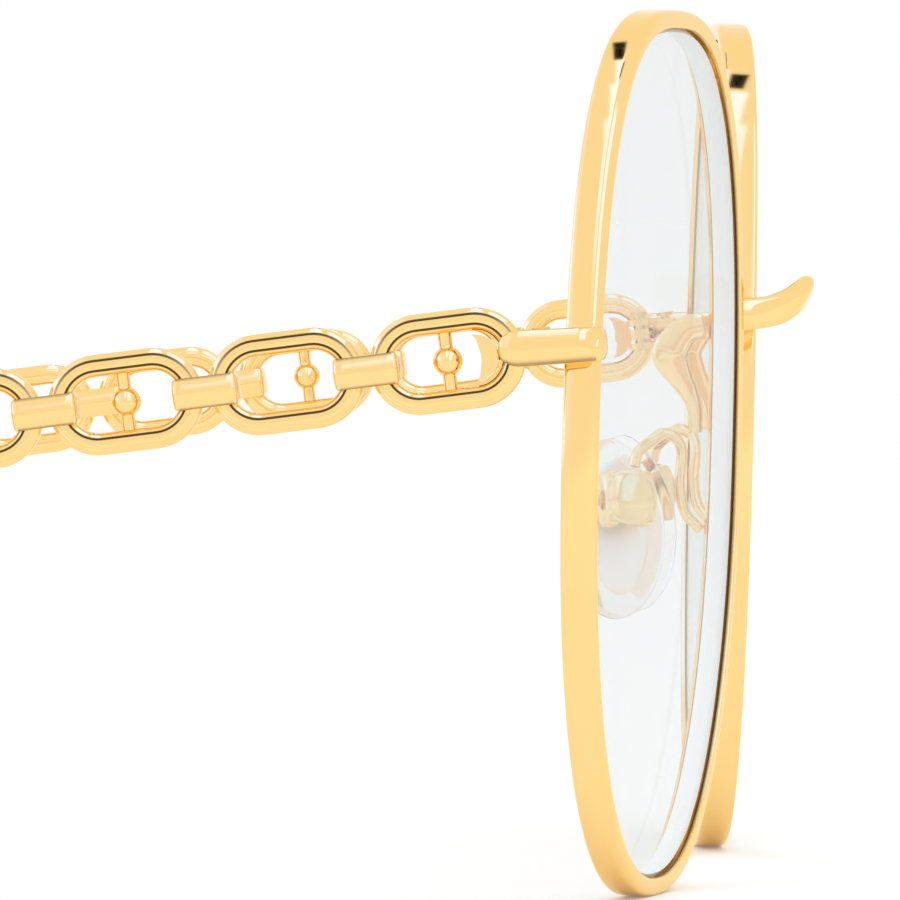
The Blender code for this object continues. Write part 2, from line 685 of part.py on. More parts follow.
# End piece: a rounded bar that hooks over the rim's front, runs past its outer wall and covers the first
# link's end, with the block that fills the room inside it
def make_end_piece():
    outside = -(swing + END_PLATE)
    inside = -(LOCK_WIDTH / 2 + SEAT_GAP)
    front = -(HINGE_BEHIND_RIM + RIM_DEPTH + END_HOOK)
    hook = RIM_WALL - HINGE_INSIDE_RIM - SEAT_GAP
    inset = END_THICKNESS / 2
    bend = END_BEND_RADIUS - inset
    centre = Vector((outside + END_BEND_RADIUS, front + END_BEND_RADIUS, 0.0))
    path = [Vector((outside + inset, END_OVERLAP, 0.0)), Vector((outside + inset, END_OVERLAP - inset, 0.0))]
    for step in range(END_BEND_STEPS + 1):
        angle = pi / 2 * step / END_BEND_STEPS
        path.append(centre - bend * Vector((cos(angle), sin(angle), 0.0)))
    path += [Vector((hook - inset, front + inset, 0.0)), Vector((hook, front + inset, 0.0))]
    sections = []
    for index, here in enumerate(path):
        share = (END_OVERLAP - here.y) / (END_OVERLAP - front)
        height = END_HEIGHT + (END_NUB_HEIGHT - END_HEIGHT) * share
        shrink = 0.6 if index in (0, len(path) - 1) else 1.0
        sections.append(superellipse(shrink * END_THICKNESS, shrink * height, BAR_FULLNESS))
    bar = loft(bar_rings(path, [Vector((0.0, 0.0, 1.0))] * len(path), sections))
    block_half = END_BLOCK_HEIGHT / 2
    block = box((outside + inset, front + END_HOOK, -block_half), (inside, END_OVERLAP - inset, block_half))
    bar = join(bar, block)
    rim_space = plate(opening_outline(RIM_WALL + SEAT_GAP), RIM_DEPTH + 2 * SEAT_GAP,
                      Matrix.Translation((0.0, RIM_DEPTH / 2, 0.0)) @ UPRIGHT)
    rim_space.data.transform(RIGHT_END.inverted() @ RIGHT_RIM)
    swing_space = keep_common(rod(swing, (0.0, 0.0, -END_HEIGHT), (0.0, 0.0, END_HEIGHT), 32),
                              box((-2 * swing, -FIRST_LINK_AHEAD - SEAT_GAP, -2 * END_HEIGHT),
                                  (2 * swing, 2 * swing, 2 * END_HEIGHT)))
    return cut(bar, rim_space, swing_space)


add_piece("end_piece_right", make_end_piece(), right_end, GOLD)


# Temple: links, connectors, arm and tip, in the hinge's frame
def rounded_section(width, height, rounding):
    """A rectangle about the origin with cut corners."""
    x, y = width / 2, height / 2
    return [(x - rounding, -y), (x, rounding - y), (x, y - rounding), (x - rounding, y),
            (rounding - x, y), (-x, y - rounding), (-x, rounding - y), (rounding - x, -y)]


def link_ring(length, y):
    """A stadium ring in the YZ plane with chamfered edges; y is its front end."""
    radius = (LINK_HEIGHT - LINK_BAND) / 2
    straight = (length - LINK_HEIGHT) / 2
    path = []
    for end in (1, -1):
        for step in range(LINK_ARC_STEPS + 1):
            angle = pi * (step / LINK_ARC_STEPS - 0.5)
            path.append((end * (straight + radius * cos(angle)), end * radius * sin(angle)))
    section = rounded_section(LINK_BAND, LINK_THICKNESS, LINK_CHAMFER)
    place = Matrix.Translation((link_offset, y + length / 2, 0.0)) @ SIDEWAYS
    return profile_sweep(path, section, True, place)


def notch(y, inward):
    """Room for a connector's end wall inside a link; y is the link's end and inward points into it."""
    half = CONNECTOR_HEIGHT / 2 + SEAT_GAP
    ends = sorted((y + inward * END_BAR, y + inward * 2 * LINK_BAND))
    return box((2 * link_offset, ends[0], -half), (0.0, ends[1], half))


def make_link(index):
    front = link_front(index)
    ring = link_ring(LINK_LENGTH, front)
    cutters = [notch(front + LINK_LENGTH, -1)]
    if index > 0:
        cutters.append(notch(front, 1))
    ring = cut(ring, *cutters)
    if index % 2:
        return ring
    middle = front + LINK_LENGTH / 2
    reach = LINK_HEIGHT / 2 - LINK_BAND / 2
    stud = rod(STUD_WIDTH / 2, (link_offset, middle, -reach), (link_offset, middle, reach), BORE_STEPS)
    bpy.ops.mesh.primitive_uv_sphere_add(segments=8, ring_count=6, radius=STUD_BEAD_RADIUS)
    bead = settle(bpy.context.object, Matrix.Translation((link_offset, middle, 0.0)))
    return join(ring, stud, bead)


def link_front(index):
    return -FIRST_LINK_AHEAD + index * (LINK_LENGTH + LINK_SPACE)


def make_connector(index):
    """A barrel over the ends of two neighbouring links, with a channel for their end bars."""
    y = link_front(index + 1) - LINK_SPACE / 2
    half_thick = LINK_THICKNESS / 2 + SEAT_GAP + CONNECTOR_WALL
    section = superellipse(2 * half_thick, CONNECTOR_HEIGHT, BARREL_FULLNESS)
    bar = loft([[(link_offset + x * share, y + place * CONNECTOR_LENGTH / 2, z * share) for x, z in section]
                for place, share in BARREL_STATIONS])
    channel_half = LINK_SPACE / 2 + END_BAR + SEAT_GAP
    inner_half = LINK_THICKNESS / 2 + SEAT_GAP
    channel = box((link_offset - inner_half, y - channel_half, -CONNECTOR_HEIGHT),
                  (link_offset + inner_half, y + channel_half, CONNECTOR_HEIGHT))
    return cut(bar, channel)


def temple_route(bend, start, end, steps):
    """Points along the temple, from start to end, as (back, up); it turns down by bend behind the ear."""
    arc = EAR_BEND_RADIUS * bend
    stations = [start]
    stations += [EAR_BEND_START + arc * step / steps for step in range(steps + 1)
                 if start < EAR_BEND_START + arc * step / steps < end]
    stations.append(end)
    points = []
    for station in stations:
        turn = min(max(station - EAR_BEND_START, 0.0) / EAR_BEND_RADIUS, bend)
        past = max(station - EAR_BEND_START - arc, 0.0)
        straight = min(station, EAR_BEND_START)
        points.append((straight + EAR_BEND_RADIUS * sin(turn) + past * cos(turn),
                       -EAR_BEND_RADIUS * (1 - cos(turn)) - past * sin(turn)))
    return points


def tip_height(bend):
    """Height of the tip's underside above the lens centre."""
    back, up = temple_route(bend, 0.0, TEMPLE_LENGTH, EAR_BEND_STEPS)[-1]
    under = SLEEVE_HALF_HEIGHT * cos(bend + TEMPLE_SLOPE)
    return hinge_place.z + up * cos(TEMPLE_SLOPE) - back * sin(TEMPLE_SLOPE) - under


def ear_bend():
    """The bend at which the tips rest on the same table as the rims."""
    table = -(OPENING_HEIGHT / 2 + RIM_WALL) * cos(LEAN)
    low, high = 0.0, radians(80.0)
    for _ in range(40):
        middle = (low + high) / 2
        if tip_height(middle) > table:
            low = middle
        else:
            high = middle
    return low


BEND = ear_bend()


def ring_section(half_height, half_width, steps):
    angles = [2 * pi * (step + 0.5) / steps for step in range(steps)]
    return [(half_height * cos(angle), half_width * sin(angle)) for angle in angles]


def make_temple_arm():
    front = link_front(LINK_COUNT)
    loop = cut(link_ring(ARM_LOOP_LENGTH, front), notch(front, 1))
    start = front + ARM_LOOP_LENGTH - LINK_BAND / 2
    route = temple_route(BEND, start, TEMPLE_LENGTH - SLEEVE_END_WALL, EAR_BEND_STEPS)
    circle = ring_section(ARM_RADIUS, ARM_RADIUS, BORE_STEPS)
    bar = profile_sweep(route, circle, False, Matrix.Translation((link_offset, 0.0, 0.0)) @ SIDEWAYS)
    return join(loop, bar)


def make_tip():
    """The sleeve over the arm: oval, fuller towards its end, and rounded there."""
    side = Matrix.Translation((link_offset, 0.0, 0.0)) @ SIDEWAYS
    route = temple_route(BEND, SLEEVE_START, TEMPLE_LENGTH, EAR_BEND_STEPS)
    section = ring_section(SLEEVE_HALF_HEIGHT, SLEEVE_HALF_WIDTH, SMALL_STEPS)
    sleeve = soften(profile_sweep(route, section, False, side), SLEEVE_ROUNDING, 2, radians(60.0))
    bore_radius = ARM_RADIUS + SEAT_GAP
    circle = ring_section(bore_radius, bore_radius, BORE_STEPS)
    bore_start = SLEEVE_START - 2 * SLEEVE_END_WALL
    bore_end = TEMPLE_LENGTH - SLEEVE_END_WALL + SEAT_GAP
    bore_route = temple_route(BEND, bore_start, bore_end, EAR_BEND_STEPS)
    return cut(sleeve, profile_sweep(bore_route, circle, False, side))


for link in range(LINK_COUNT):
    add_piece(f"link_{link + 1}_right", make_link(link), right_hinge, GOLD)
    add_piece(f"connector_{link + 1}_right", make_connector(link), right_hinge, GOLD)
add_piece("temple_arm_right", make_temple_arm(), right_hinge, GOLD)
add_piece("temple_tip_right", make_tip(), right_hinge, TIP_PLASTIC)


# The left side mirrors the right
def mirror_to_left():
    twins = {root: root}
    for frame in FRAMES:
        place = MIRROR @ frame.matrix_local @ MIRROR
        twins[frame] = make_frame(frame.name.replace("right", "left"), place, root)
    for piece in [item for item in model.objects if item.type == "MESH" and item.name.endswith("_right")]:
        twin = piece.copy()
        twin.data = piece.data.copy()
        twin.name = twin.data.name = piece.name.replace("_right", "_left")
        twin.data.transform(MIRROR)
        twin.data.flip_normals()
        twin.parent = twins[piece.parent]
        model.objects.link(twin)


def stand_on_origin():
    """Moves the whole model so that the origin is under the middle of its bounding box."""
    bpy.context.view_layer.update()
    corners = [piece.matrix_world @ vertex.co for piece in model.objects if piece.type == "MESH"
               for vertex in piece.data.vertices]
    low = Vector([min(corner[axis] for corner in corners) for axis in range(3)])
    high = Vector([max(corner[axis] for corner in corners) for axis in range(3)])
    root.location -= Vector(((low.x + high.x) / 2, (low.y + high.y) / 2, low.z))


mirror_to_left()
stand_on_origin()
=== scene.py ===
"""Round sunglasses of polished pale gold: fine surfaces, finishes, studio and camera.

Lengths are in metres, +Z is up and the front faces -Y. Each shape of the wearer's right side (-X) is
worked out in the frame of the rim, hinge or nose pad that carries it, and mirrored to the left.
"""

import json
from math import cos, pi, radians, sin

import bmesh
import bpy
import numpy as np
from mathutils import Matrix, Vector


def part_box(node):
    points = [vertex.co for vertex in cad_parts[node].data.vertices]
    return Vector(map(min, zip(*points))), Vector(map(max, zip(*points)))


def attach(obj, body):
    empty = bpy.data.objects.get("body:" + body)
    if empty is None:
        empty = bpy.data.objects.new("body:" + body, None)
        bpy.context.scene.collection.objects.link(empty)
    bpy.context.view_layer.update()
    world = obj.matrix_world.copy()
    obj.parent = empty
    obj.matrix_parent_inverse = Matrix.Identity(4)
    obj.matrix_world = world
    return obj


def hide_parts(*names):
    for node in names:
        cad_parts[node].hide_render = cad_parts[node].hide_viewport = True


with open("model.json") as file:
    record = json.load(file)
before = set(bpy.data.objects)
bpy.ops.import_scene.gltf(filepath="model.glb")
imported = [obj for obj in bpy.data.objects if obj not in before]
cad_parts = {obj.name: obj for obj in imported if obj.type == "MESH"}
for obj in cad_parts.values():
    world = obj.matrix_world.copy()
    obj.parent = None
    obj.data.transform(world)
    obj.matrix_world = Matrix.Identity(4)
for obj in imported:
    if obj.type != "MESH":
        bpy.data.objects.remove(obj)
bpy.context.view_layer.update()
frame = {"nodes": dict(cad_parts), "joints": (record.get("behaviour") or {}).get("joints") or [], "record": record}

MM = 0.001

# Lens opening and rim
OPENING_WIDTH = 58.4 * MM
OPENING_HEIGHT = 58.75 * MM
SQUARENESS_ABOVE = 2.7
SQUARENESS_BELOW = 2.25
RIM_WALL = 1.25 * MM
RIM_DEPTH = 2.4 * MM
RIM_FRONT_ROUNDING = 0.85 * MM
RIM_NASAL_ROUNDING = 0.3 * MM
RIM_BACK_ROUNDING = 0.4 * MM
RIM_INNER_CHAMFER = 0.42 * MM
RIM_DRAFT = 0.04
RIM_SKIN_INSIDE = 0.03 * MM
# Painted shade on the rim's lip in front of the lens
RIM_LIP_PAINTED_SHADE = 0.9
LENS_THICKNESS = 1.5 * MM
LENS_RECESS = 0.45 * MM
LENS_BEVEL = 0.4 * MM
GROOVE_DEPTH = 0.4 * MM
SEAT_GAP = 0.3 * MM
SPLIT_WIDTH = 0.3 * MM
HINGE_ABOVE_CENTRE = 7.17 * MM

# Bridge and claws
BRIDGE_HEIGHT = 2.3 * MM
BRIDGE_THICKNESS = 1.3 * MM
BRIDGE_BOW = 5.9 * MM
BRIDGE_BOW_POWER = 0.9
BRIDGE_RISE = 1.7 * MM
BRIDGE_RISE_POWER = 4
BRIDGE_TIP_LEAN = 0.4
BRIDGE_SQUARENESS = 2.6
BRIDGE_ABOVE_CENTRE = 9.3 * MM
CLAW_THICKNESS = 0.8 * MM
CLAW_REACH = 2.45 * MM
CLAW_DROP = 7.5 * MM
CLAW_WIDTH = 2.7 * MM
CLAW_WIDTH_INSIDE = 0.98
CLAW_CHAMFER = 0.28 * MM
CLAW_EDGE_RADIUS = 0.09 * MM
CLAW_ABOVE_CENTRE = 8.4 * MM

# Nose pads
PAD_HEIGHT = 13.0 * MM
PAD_WIDTH = 7.6 * MM
PAD_THICKNESS = 2.4 * MM
PAD_EDGE_POWER = 2.6
PAD_NARROWING = 0.2
PAD_SPLAY = radians(9.0)
PAD_BELOW_PIVOT = 1.7 * MM
PAD_BOX_WIDTH = 3.8 * MM
PAD_BOX_HEIGHT = 4.0 * MM
PAD_BOX_FRONT = 1.1 * MM
PAD_BOX_BACK = 2.0 * MM
PAD_BOX_DOME = 1.1 * MM
PAD_CHEEK_SHARE = 0.8
PAD_LUG_THICKNESS = 0.8 * MM
PAD_LUG_RADIUS = 1.3 * MM
INSERT_HEIGHT = 9.8 * MM
INSERT_WIDTH = 4.6 * MM
INSERT_THICKNESS = 0.5 * MM
INSERT_EDGE_POWER = 8.0
INSERT_GAP = 0.6 * MM
ARM_WIRE_RADIUS = 0.4 * MM
ARM_FOOT_BELOW_CENTRE = 6.05 * MM
ARM_LOOP_RISE = 2.3 * MM
ARM_LOOP_REACH = 2.6 * MM

# End pieces
END_HEIGHT = 2.5 * MM
END_NUB_HEIGHT = 2.25 * MM
END_THICKNESS = 0.95 * MM
END_PLATE = 0.75 * MM
END_OVERLAP = 0.7 * MM
END_HOOK = 0.55 * MM
END_ABOVE_HINGE = 0.3 * MM
END_SLOPE = radians(3.5)
END_SQUARENESS = 2.6
END_REAR_TAPER = 0.24
END_TAPER_LENGTH = 1.3 * MM
# Painted shade on the end bar's underside
END_SHADE_TONE = 0.55
END_SHADE_START = 0.34
END_SHADE_RUN = 0.1
END_BLOCK_HEIGHT_SHARE = 0.74
END_BLOCK_DEPTH_SHARE = 0.8
END_BEND_RADIUS = 1.9 * MM
KNUCKLE_RADIUS = 1.0 * MM
HINGE_BEHIND_RIM = 3.45 * MM
HINGE_INSIDE_RIM = 0.6 * MM

# Chain-link temples
LINK_COUNT = 6
LINK_LENGTH = 10.5 * MM
LINK_HEIGHT = 6.75 * MM
LINK_BAND = 1.5 * MM
LINK_THICKNESS = 1.6 * MM
LINK_CHAMFER = 0.36 * MM
LINK_LINE = 0.34 * MM
# Painted shade in the links' grooves
LINK_LINE_PAINTED_SHADE = 0.95
LINK_SPACE = 0.4 * MM
FIRST_LINK_AHEAD = 1.0 * MM
STUD_WIDTH = 0.9 * MM
STUD_BEAD_RADIUS = 1.0 * MM
STUD_FLARE = 0.35
CONNECTOR_LENGTH = 4.4 * MM
CONNECTOR_HEIGHT = 2.3 * MM
CONNECTOR_WALL = 0.5 * MM
CONNECTOR_TILT = radians(36)
CONNECTOR_CORNER = 0.14 * MM
CONNECTOR_END = 0.35 * MM
# Painted shade along the connectors' outer edges
CONNECTOR_PAINTED_SHADE = 0.6

# Temple arms and tips
ARM_LOOP_LENGTH = 7.2 * MM
ARM_RADIUS = 0.8 * MM
ARM_SWELL = 0.35
ARM_SWELL_LENGTH_SHARE = 1 / 14
TEMPLE_LENGTH = 142.0 * MM
EAR_BEND_START = 94.0 * MM
EAR_BEND_RADIUS = 32.0 * MM
SLEEVE_START = 82.0 * MM
SLEEVE_HALF_HEIGHT = 2.0 * MM
SLEEVE_HALF_WIDTH = 1.65 * MM
SLEEVE_GAP = 0.4 * MM
SLEEVE_SLIM_SHARE = 0.8

# Camera and studio
VIEW_TURN = radians(4.46)
VIEW_DROP = radians(1.02)
CAMERA_DISTANCE = 0.999
AIM_BEHIND_RIM = 18.249 * MM
AIM_BELOW_RIM = 0.475 * MM
FOCAL_PIXELS = 13900.0
PICTURE_PIXELS = 900.0
SENSOR_MM = 36.0


# Frames of the right side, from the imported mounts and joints
def axes(origin, x, y, z):
    """A 4 x 4 matrix whose columns are the three axes and the origin."""
    matrix = np.eye(4)
    for column, vector in enumerate((x, y, z, origin)):
        matrix[:3, column] = np.asarray(vector, dtype=float)
    return matrix


def unit(vector):
    """Vectors scaled to length 1 along their last axis."""
    vector = np.asarray(vector, dtype=float)
    return vector / np.linalg.norm(vector, axis=-1, keepdims=True)


mounts = {mount["name"]: mount for mount in frame["record"]["mounts"]}
joints = {joint["name"]: joint for joint in frame["joints"]}

rim_back = -unit(mounts["lens_face_right"]["axis"])
rim_across = unit(np.cross(rim_back, (0.0, 0.0, 1.0)))
rim_place = np.array(mounts["lens_face_right"]["pos_m"]) - LENS_RECESS * rim_back
RIM = axes(rim_place, rim_across, rim_back, np.cross(rim_across, rim_back))

hinge_up = -unit(joints["temple_right_fold"]["axis"])
hinge_place = np.array(joints["temple_right_fold"]["pos_m"])
HINGE = axes(hinge_place, (1, 0, 0), np.cross(hinge_up, (1, 0, 0)), hinge_up)
END = axes(hinge_place, (1, 0, 0), (0, cos(END_SLOPE), -sin(END_SLOPE)), (0, sin(END_SLOPE), cos(END_SLOPE)))

pad_back = unit(joints["nose_pad_right_rock"]["axis"])
pad_level = np.cross(pad_back, (0.0, 0.0, 1.0))
PAD = axes(joints["nose_pad_right_rock"]["pos_m"],
           cos(PAD_SPLAY) * pad_level - sin(PAD_SPLAY) * np.array((0, 0, 1)), pad_back,
           sin(PAD_SPLAY) * pad_level + cos(PAD_SPLAY) * np.array((0, 0, 1)))
WORLD = np.eye(4)


def placed(points, axes_matrix):
    """Points given along a frame's own axes, carried to the world."""
    return points @ axes_matrix[:3, :3].T + axes_matrix[:3, 3]


# Surfaces worked out on grids
def surface(grid, loop=False, tone=0.0):
    """Points, faces and painted shade over a grid whose rows are closed sections. A loop joins the last row to
    the first, and otherwise one face closes each end row. The tone of painted shade may differ along the section."""
    rows, columns = grid.shape[:2]
    index = np.arange(rows * columns).reshape(rows, columns)
    net = np.concatenate([index, index[:, :1]], axis=1)
    if loop:
        net = np.concatenate([net, net[:1]], axis=0)
    quads = np.stack([net[:-1, :-1], net[1:, :-1], net[1:, 1:], net[:-1, 1:]], axis=-1).reshape(-1, 4)
    faces = quads.tolist()
    if not loop:
        faces += [index[0].tolist(), index[-1, ::-1].tolist()]
    return grid.reshape(-1, 3), faces, np.broadcast_to(tone, (rows, columns)).reshape(-1)


def joined(*surfaces):
    """Several surfaces as one list of points, faces and painted shade."""
    points, faces, tones, start = [], [], [], 0
    for some_points, some_faces, some_tones in surfaces:
        points.append(some_points)
        tones.append(some_tones)
        faces += [[corner + start for corner in face] for face in some_faces]
        start += len(some_points)
    return np.concatenate(points), faces, np.concatenate(tones)


def ring_angles(steps):
    """Even angles once round, without the last that would repeat the first."""
    return np.linspace(0.0, 2 * pi, steps, endpoint=False)


def superellipse(width, height, power, steps=32):
    """A closed curve |2x/width|^power + |2y/height|^power = 1, by polar angle."""
    angle = ring_angles(steps)
    reach = (abs(2 * np.cos(angle) / width) ** power + abs(2 * np.sin(angle) / height) ** power) ** (-1 / power)
    return np.stack([reach * np.cos(angle), reach * np.sin(angle)], axis=-1)


def rounded(corners, radii, steps=5):
    """A polygon with rounded corners. Each is a quadratic arc between the points that lie one radius
    along its two edges: corner + radius * (back * (1 - t)^2 + on * t^2)."""
    corners = np.asarray(corners, dtype=float)
    back = unit(np.roll(corners, 1, axis=0) - corners)[:, None]
    on = unit(np.roll(corners, -1, axis=0) - corners)[:, None]
    reach = np.broadcast_to(np.asarray(radii, dtype=float), len(corners))[:, None, None]
    t = np.linspace(0.0, 1.0, steps)[None, :, None]
    return (corners[:, None] + reach * (back * (1 - t) ** 2 + on * t ** 2)).reshape(-1, 2)


def directions(path, closed):
    """Unit directions along a path, from each point's neighbours."""
    if closed:
        return unit(np.roll(path, -1, axis=0) - np.roll(path, 1, axis=0))
    return unit(np.gradient(path, axis=0))


def carry(path, profile, up, closed=False):
    """A profile carried along a path: (a, b) lies at p + a * side + b * up, where side is up x direction.
    The profile may differ from point to point."""
    up = np.broadcast_to(np.asarray(up, dtype=float), path.shape)
    side = unit(np.cross(up, directions(path, closed)))
    profile = np.broadcast_to(profile, (len(path),) + profile.shape[-2:])
    return path[:, None] + profile[..., :1] * side[:, None] + profile[..., 1:] * up[:, None]


def round_ends(grid, depth, steps=6):
    """Closes a swept grid with domes: each end row shrinks by cos(t) as it moves out by depth * sin(t)."""
    t = np.linspace(0.0, pi / 2, steps + 1)[1:, None, None]

    def dome(row, inner):
        centre = row.mean(axis=0)
        out = unit(centre - inner.mean(axis=0))
        return centre + (row - centre) * np.cos(t) + out * depth * np.sin(t)

    return np.concatenate([dome(grid[0], grid[1])[::-1], grid, dome(grid[-1], grid[-2])])


def through(points, steps):
    """A Catmull-Rom curve through points, with the given number of steps in each span."""
    points = np.asarray(points, dtype=float)
    ends = np.concatenate([[2 * points[0] - points[1]], points, [2 * points[-1] - points[-2]]])
    before, start, end, after = (ends[k:len(ends) - 3 + k, None] for k in range(4))
    t = (np.arange(steps) / steps)[None, :, None]
    route = 0.5 * (2 * start + (end - before) * t + (2 * before - 5 * start + 4 * end - after) * t ** 2
                   + (3 * start - before - 3 * end + after) * t ** 3)
    return np.concatenate([route.reshape(-1, points.shape[1]), points[-1:]])


def pebble(size, along, across, steps=24, around=36):
    """A rounded block about the origin, longest along y: sections are superellipses of power across,
    and they shrink towards the ends as (1 - |s|^along)^(1/along)."""
    s = np.sin(np.linspace(-pi / 2, pi / 2, steps))
    shrink = np.maximum(1 - abs(s) ** along, 0.0) ** (1 / along)
    section = superellipse(size[0], size[2], across, around)
    grid = np.zeros((steps, around, 3))
    grid[..., 0] = shrink[:, None] * section[:, 0]
    grid[..., 1] = (s * size[1] / 2)[:, None]
    grid[..., 2] = shrink[:, None] * section[:, 1]
    return grid


def turned(profile, start, axis, steps=32):
    """A profile of (radius, distance) pairs turned about the line from start along axis."""
    axis = unit(axis)
    first = unit(np.cross(axis, (0.31, 0.95, 0.13)))
    second = np.cross(axis, first)
    angle = ring_angles(steps)
    round_it = np.cos(angle)[:, None] * first + np.sin(angle)[:, None] * second
    profile = np.asarray(profile, dtype=float)
    return np.asarray(start) + profile[:, :1, None] * round_it + profile[:, 1:, None] * axis


def opening(angle, offset=0.0):
    """The lens opening at polar angles, moved outward by offset along its own normal, as (x, height)."""
    def reach(turn):
        power = np.where(np.sin(turn) >= 0, SQUARENESS_ABOVE, SQUARENESS_BELOW)
        length = (abs(2 * np.cos(turn) / OPENING_WIDTH) ** power
                  + abs(2 * np.sin(turn) / OPENING_HEIGHT) ** power) ** (-1 / power)
        return np.stack([length * np.cos(turn), length * np.sin(turn)], axis=-1)

    step = 0.001
    along = unit(reach(angle + step) - reach(angle - step))
    return reach(angle) + offset * np.stack([along[..., 1], -along[..., 0]], axis=-1)


def opening_half_width(height):
    """Half the opening's width at a height from its centre."""
    power = SQUARENESS_ABOVE if height >= 0 else SQUARENESS_BELOW
    return OPENING_WIDTH / 2 * (1 - abs(2 * height / OPENING_HEIGHT) ** power) ** (1 / power)


# Finishes
WHITE = (1.0, 1.0, 1.0, 1.0)
# Painted shade: dark lines and undersides painted into the gold where shade and dark reflections fall, with the
# polish dulled there
PAINTED_SHADE_COLOUR = (0.07, 0.035, 0.004, 1.0)
PAINTED_SHADE_DULLING = 0.3
LENS_CLEAREST = 0.08
LENS_DENSEST = 0.28
SHARP_ANGLE = radians(40.0)
MERGE_DISTANCE = 0.0005 * MM


def node_group(name, sockets_in, sockets_out):
    """An empty shader group with the given inputs, as (name, type, value), and outputs."""
    group = bpy.data.node_groups.new(name, "ShaderNodeTree")
    for socket_name, kind, value in sockets_in:
        socket = group.interface.new_socket(socket_name, in_out="INPUT", socket_type=kind)
        socket.default_value = value
    for socket_name, kind in sockets_out:
        group.interface.new_socket(socket_name, in_out="OUTPUT", socket_type=kind)
    return group, group.nodes.new("NodeGroupInput"), group.nodes.new("NodeGroupOutput")


def add_node(tree, kind, inputs=(), **settings):
    """A node with settings, whose inputs are values or the sockets that feed them."""
    node = tree.nodes.new(kind)
    for key, value in settings.items():
        setattr(node, key, value)
    for key, value in dict(inputs).items():
        if isinstance(value, bpy.types.NodeSocket):
            tree.links.new(value, node.inputs[key])
        else:
            node.inputs[key].default_value = value
    return node


def computed(tree, operation, *values):
    """The result of a Math node on numbers or sockets."""
    return add_node(tree, "ShaderNodeMath", dict(enumerate(values)), operation=operation).outputs["Value"]


def mixed(tree, factor, first, second):
    """The colour between two colours, each a value or a socket."""
    sockets = {"Factor": factor, "A": first, "B": second}
    return add_node(tree, "ShaderNodeMix", sockets, data_type="RGBA").outputs["Result"]


def noise(tree, scale, detail, stretch=(1.0, 1.0, 1.0), turn=(0.0, 0.0, 0.0)):
    """A noise on Object coordinates, drawn out along each axis as 1 / stretch."""
    place = add_node(tree, "ShaderNodeTexCoord")
    drift = add_node(tree, "ShaderNodeMapping", {"Vector": place.outputs["Object"], "Rotation": turn,
                                                 "Scale": stretch})
    cloud = add_node(tree, "ShaderNodeTexNoise", {"Vector": drift.outputs["Vector"], "Detail": detail,
                                                  "Scale": scale})
    return cloud.outputs["Fac"]


def make_polish_group():
    """Handling marks on a polished surface: a broad cloud and fine stretched scratches change the
    roughness, the colour deepens a little in the clouds, and the scratches give a shallow bump."""
    group, source, result = node_group(
        "Polish wear",
        [("Color", "NodeSocketColor", WHITE), ("Deep Color", "NodeSocketColor", WHITE),
         ("Roughness", "NodeSocketFloat", 0.08), ("Wear", "NodeSocketFloat", 0.05),
         ("Cloud Scale", "NodeSocketFloat", 90.0), ("Scratch Scale", "NodeSocketFloat", 900.0),
         ("Bump", "NodeSocketFloat", 0.02)],
        [("Color", "NodeSocketColor"), ("Roughness", "NodeSocketFloat"), ("Normal", "NodeSocketVector")])
    cloud = noise(group, source.outputs["Cloud Scale"], detail=3.0)
    scratch = noise(group, source.outputs["Scratch Scale"], detail=4.0, stretch=(1.0, 0.12, 0.5),
                    turn=(0.4, 0.3, 0.7))
    marks = add_node(group, "ShaderNodeMapRange", {"Value": scratch, "From Min": 0.55, "From Max": 0.8})
    both = computed(group, "ADD", cloud, marks.outputs["Result"])
    extra = computed(group, "MULTIPLY", both, source.outputs["Wear"])
    rough = computed(group, "ADD", extra, source.outputs["Roughness"])
    tint = mixed(group, cloud, source.outputs["Color"], source.outputs["Deep Color"])
    bump = add_node(group, "ShaderNodeBump", {"Height": scratch, "Strength": source.outputs["Bump"],
                                              "Distance": 0.02 * MM})
    group.links.new(tint, result.inputs["Color"])
    group.links.new(rough, result.inputs["Roughness"])
    group.links.new(bump.outputs["Normal"], result.inputs["Normal"])
    return group


POLISH = make_polish_group()


def new_finish(name):
    """A material with an empty Principled BSDF; returns the material, its tree and the shader."""
    material = bpy.data.materials.new(name)
    material.use_nodes = True
    return material, material.node_tree, material.node_tree.nodes["Principled BSDF"]


def polished(name, colour, deep, metallic, roughness, wear, bump, **sockets):
    """A finish that places the polish wear group with its own values."""
    material, tree, shader = new_finish(name)
    marks = add_node(tree, "ShaderNodeGroup", node_tree=POLISH)
    for key, value in (("Color", (*colour, 1.0)), ("Deep Color", (*deep, 1.0)), ("Roughness", roughness),
                       ("Wear", wear), ("Bump", bump)):
        marks.inputs[key].default_value = value
    tree.links.new(marks.outputs["Color"], shader.inputs["Base Color"])
    tree.links.new(marks.outputs["Roughness"], shader.inputs["Roughness"])
    tree.links.new(marks.outputs["Normal"], shader.inputs["Normal"])
    shader.inputs["Metallic"].default_value = metallic
    for key, value in sockets.items():
        shader.inputs[key.replace("_", " ")].default_value = value
    return material


def add_painted_shade(material):
    """Paints shade: deepens the colour and dulls the polish where a piece's own painted shade attribute says so.
    """
    tree = material.node_tree
    shader = tree.nodes["Principled BSDF"]
    # Painted shade, read from each piece's own tones
    painted_shade = add_node(tree, "ShaderNodeAttribute", attribute_name="painted_shade")
    colour = shader.inputs["Base Color"].links[0].from_socket
    rough = shader.inputs["Roughness"].links[0].from_socket
    deepened = mixed(tree, painted_shade.outputs["Fac"], colour, PAINTED_SHADE_COLOUR)
    dulled = computed(tree, "MULTIPLY_ADD", painted_shade.outputs["Fac"], PAINTED_SHADE_DULLING, rough)
    tree.links.new(deepened, shader.inputs["Base Color"])
    tree.links.new(dulled, shader.inputs["Roughness"])
    return material


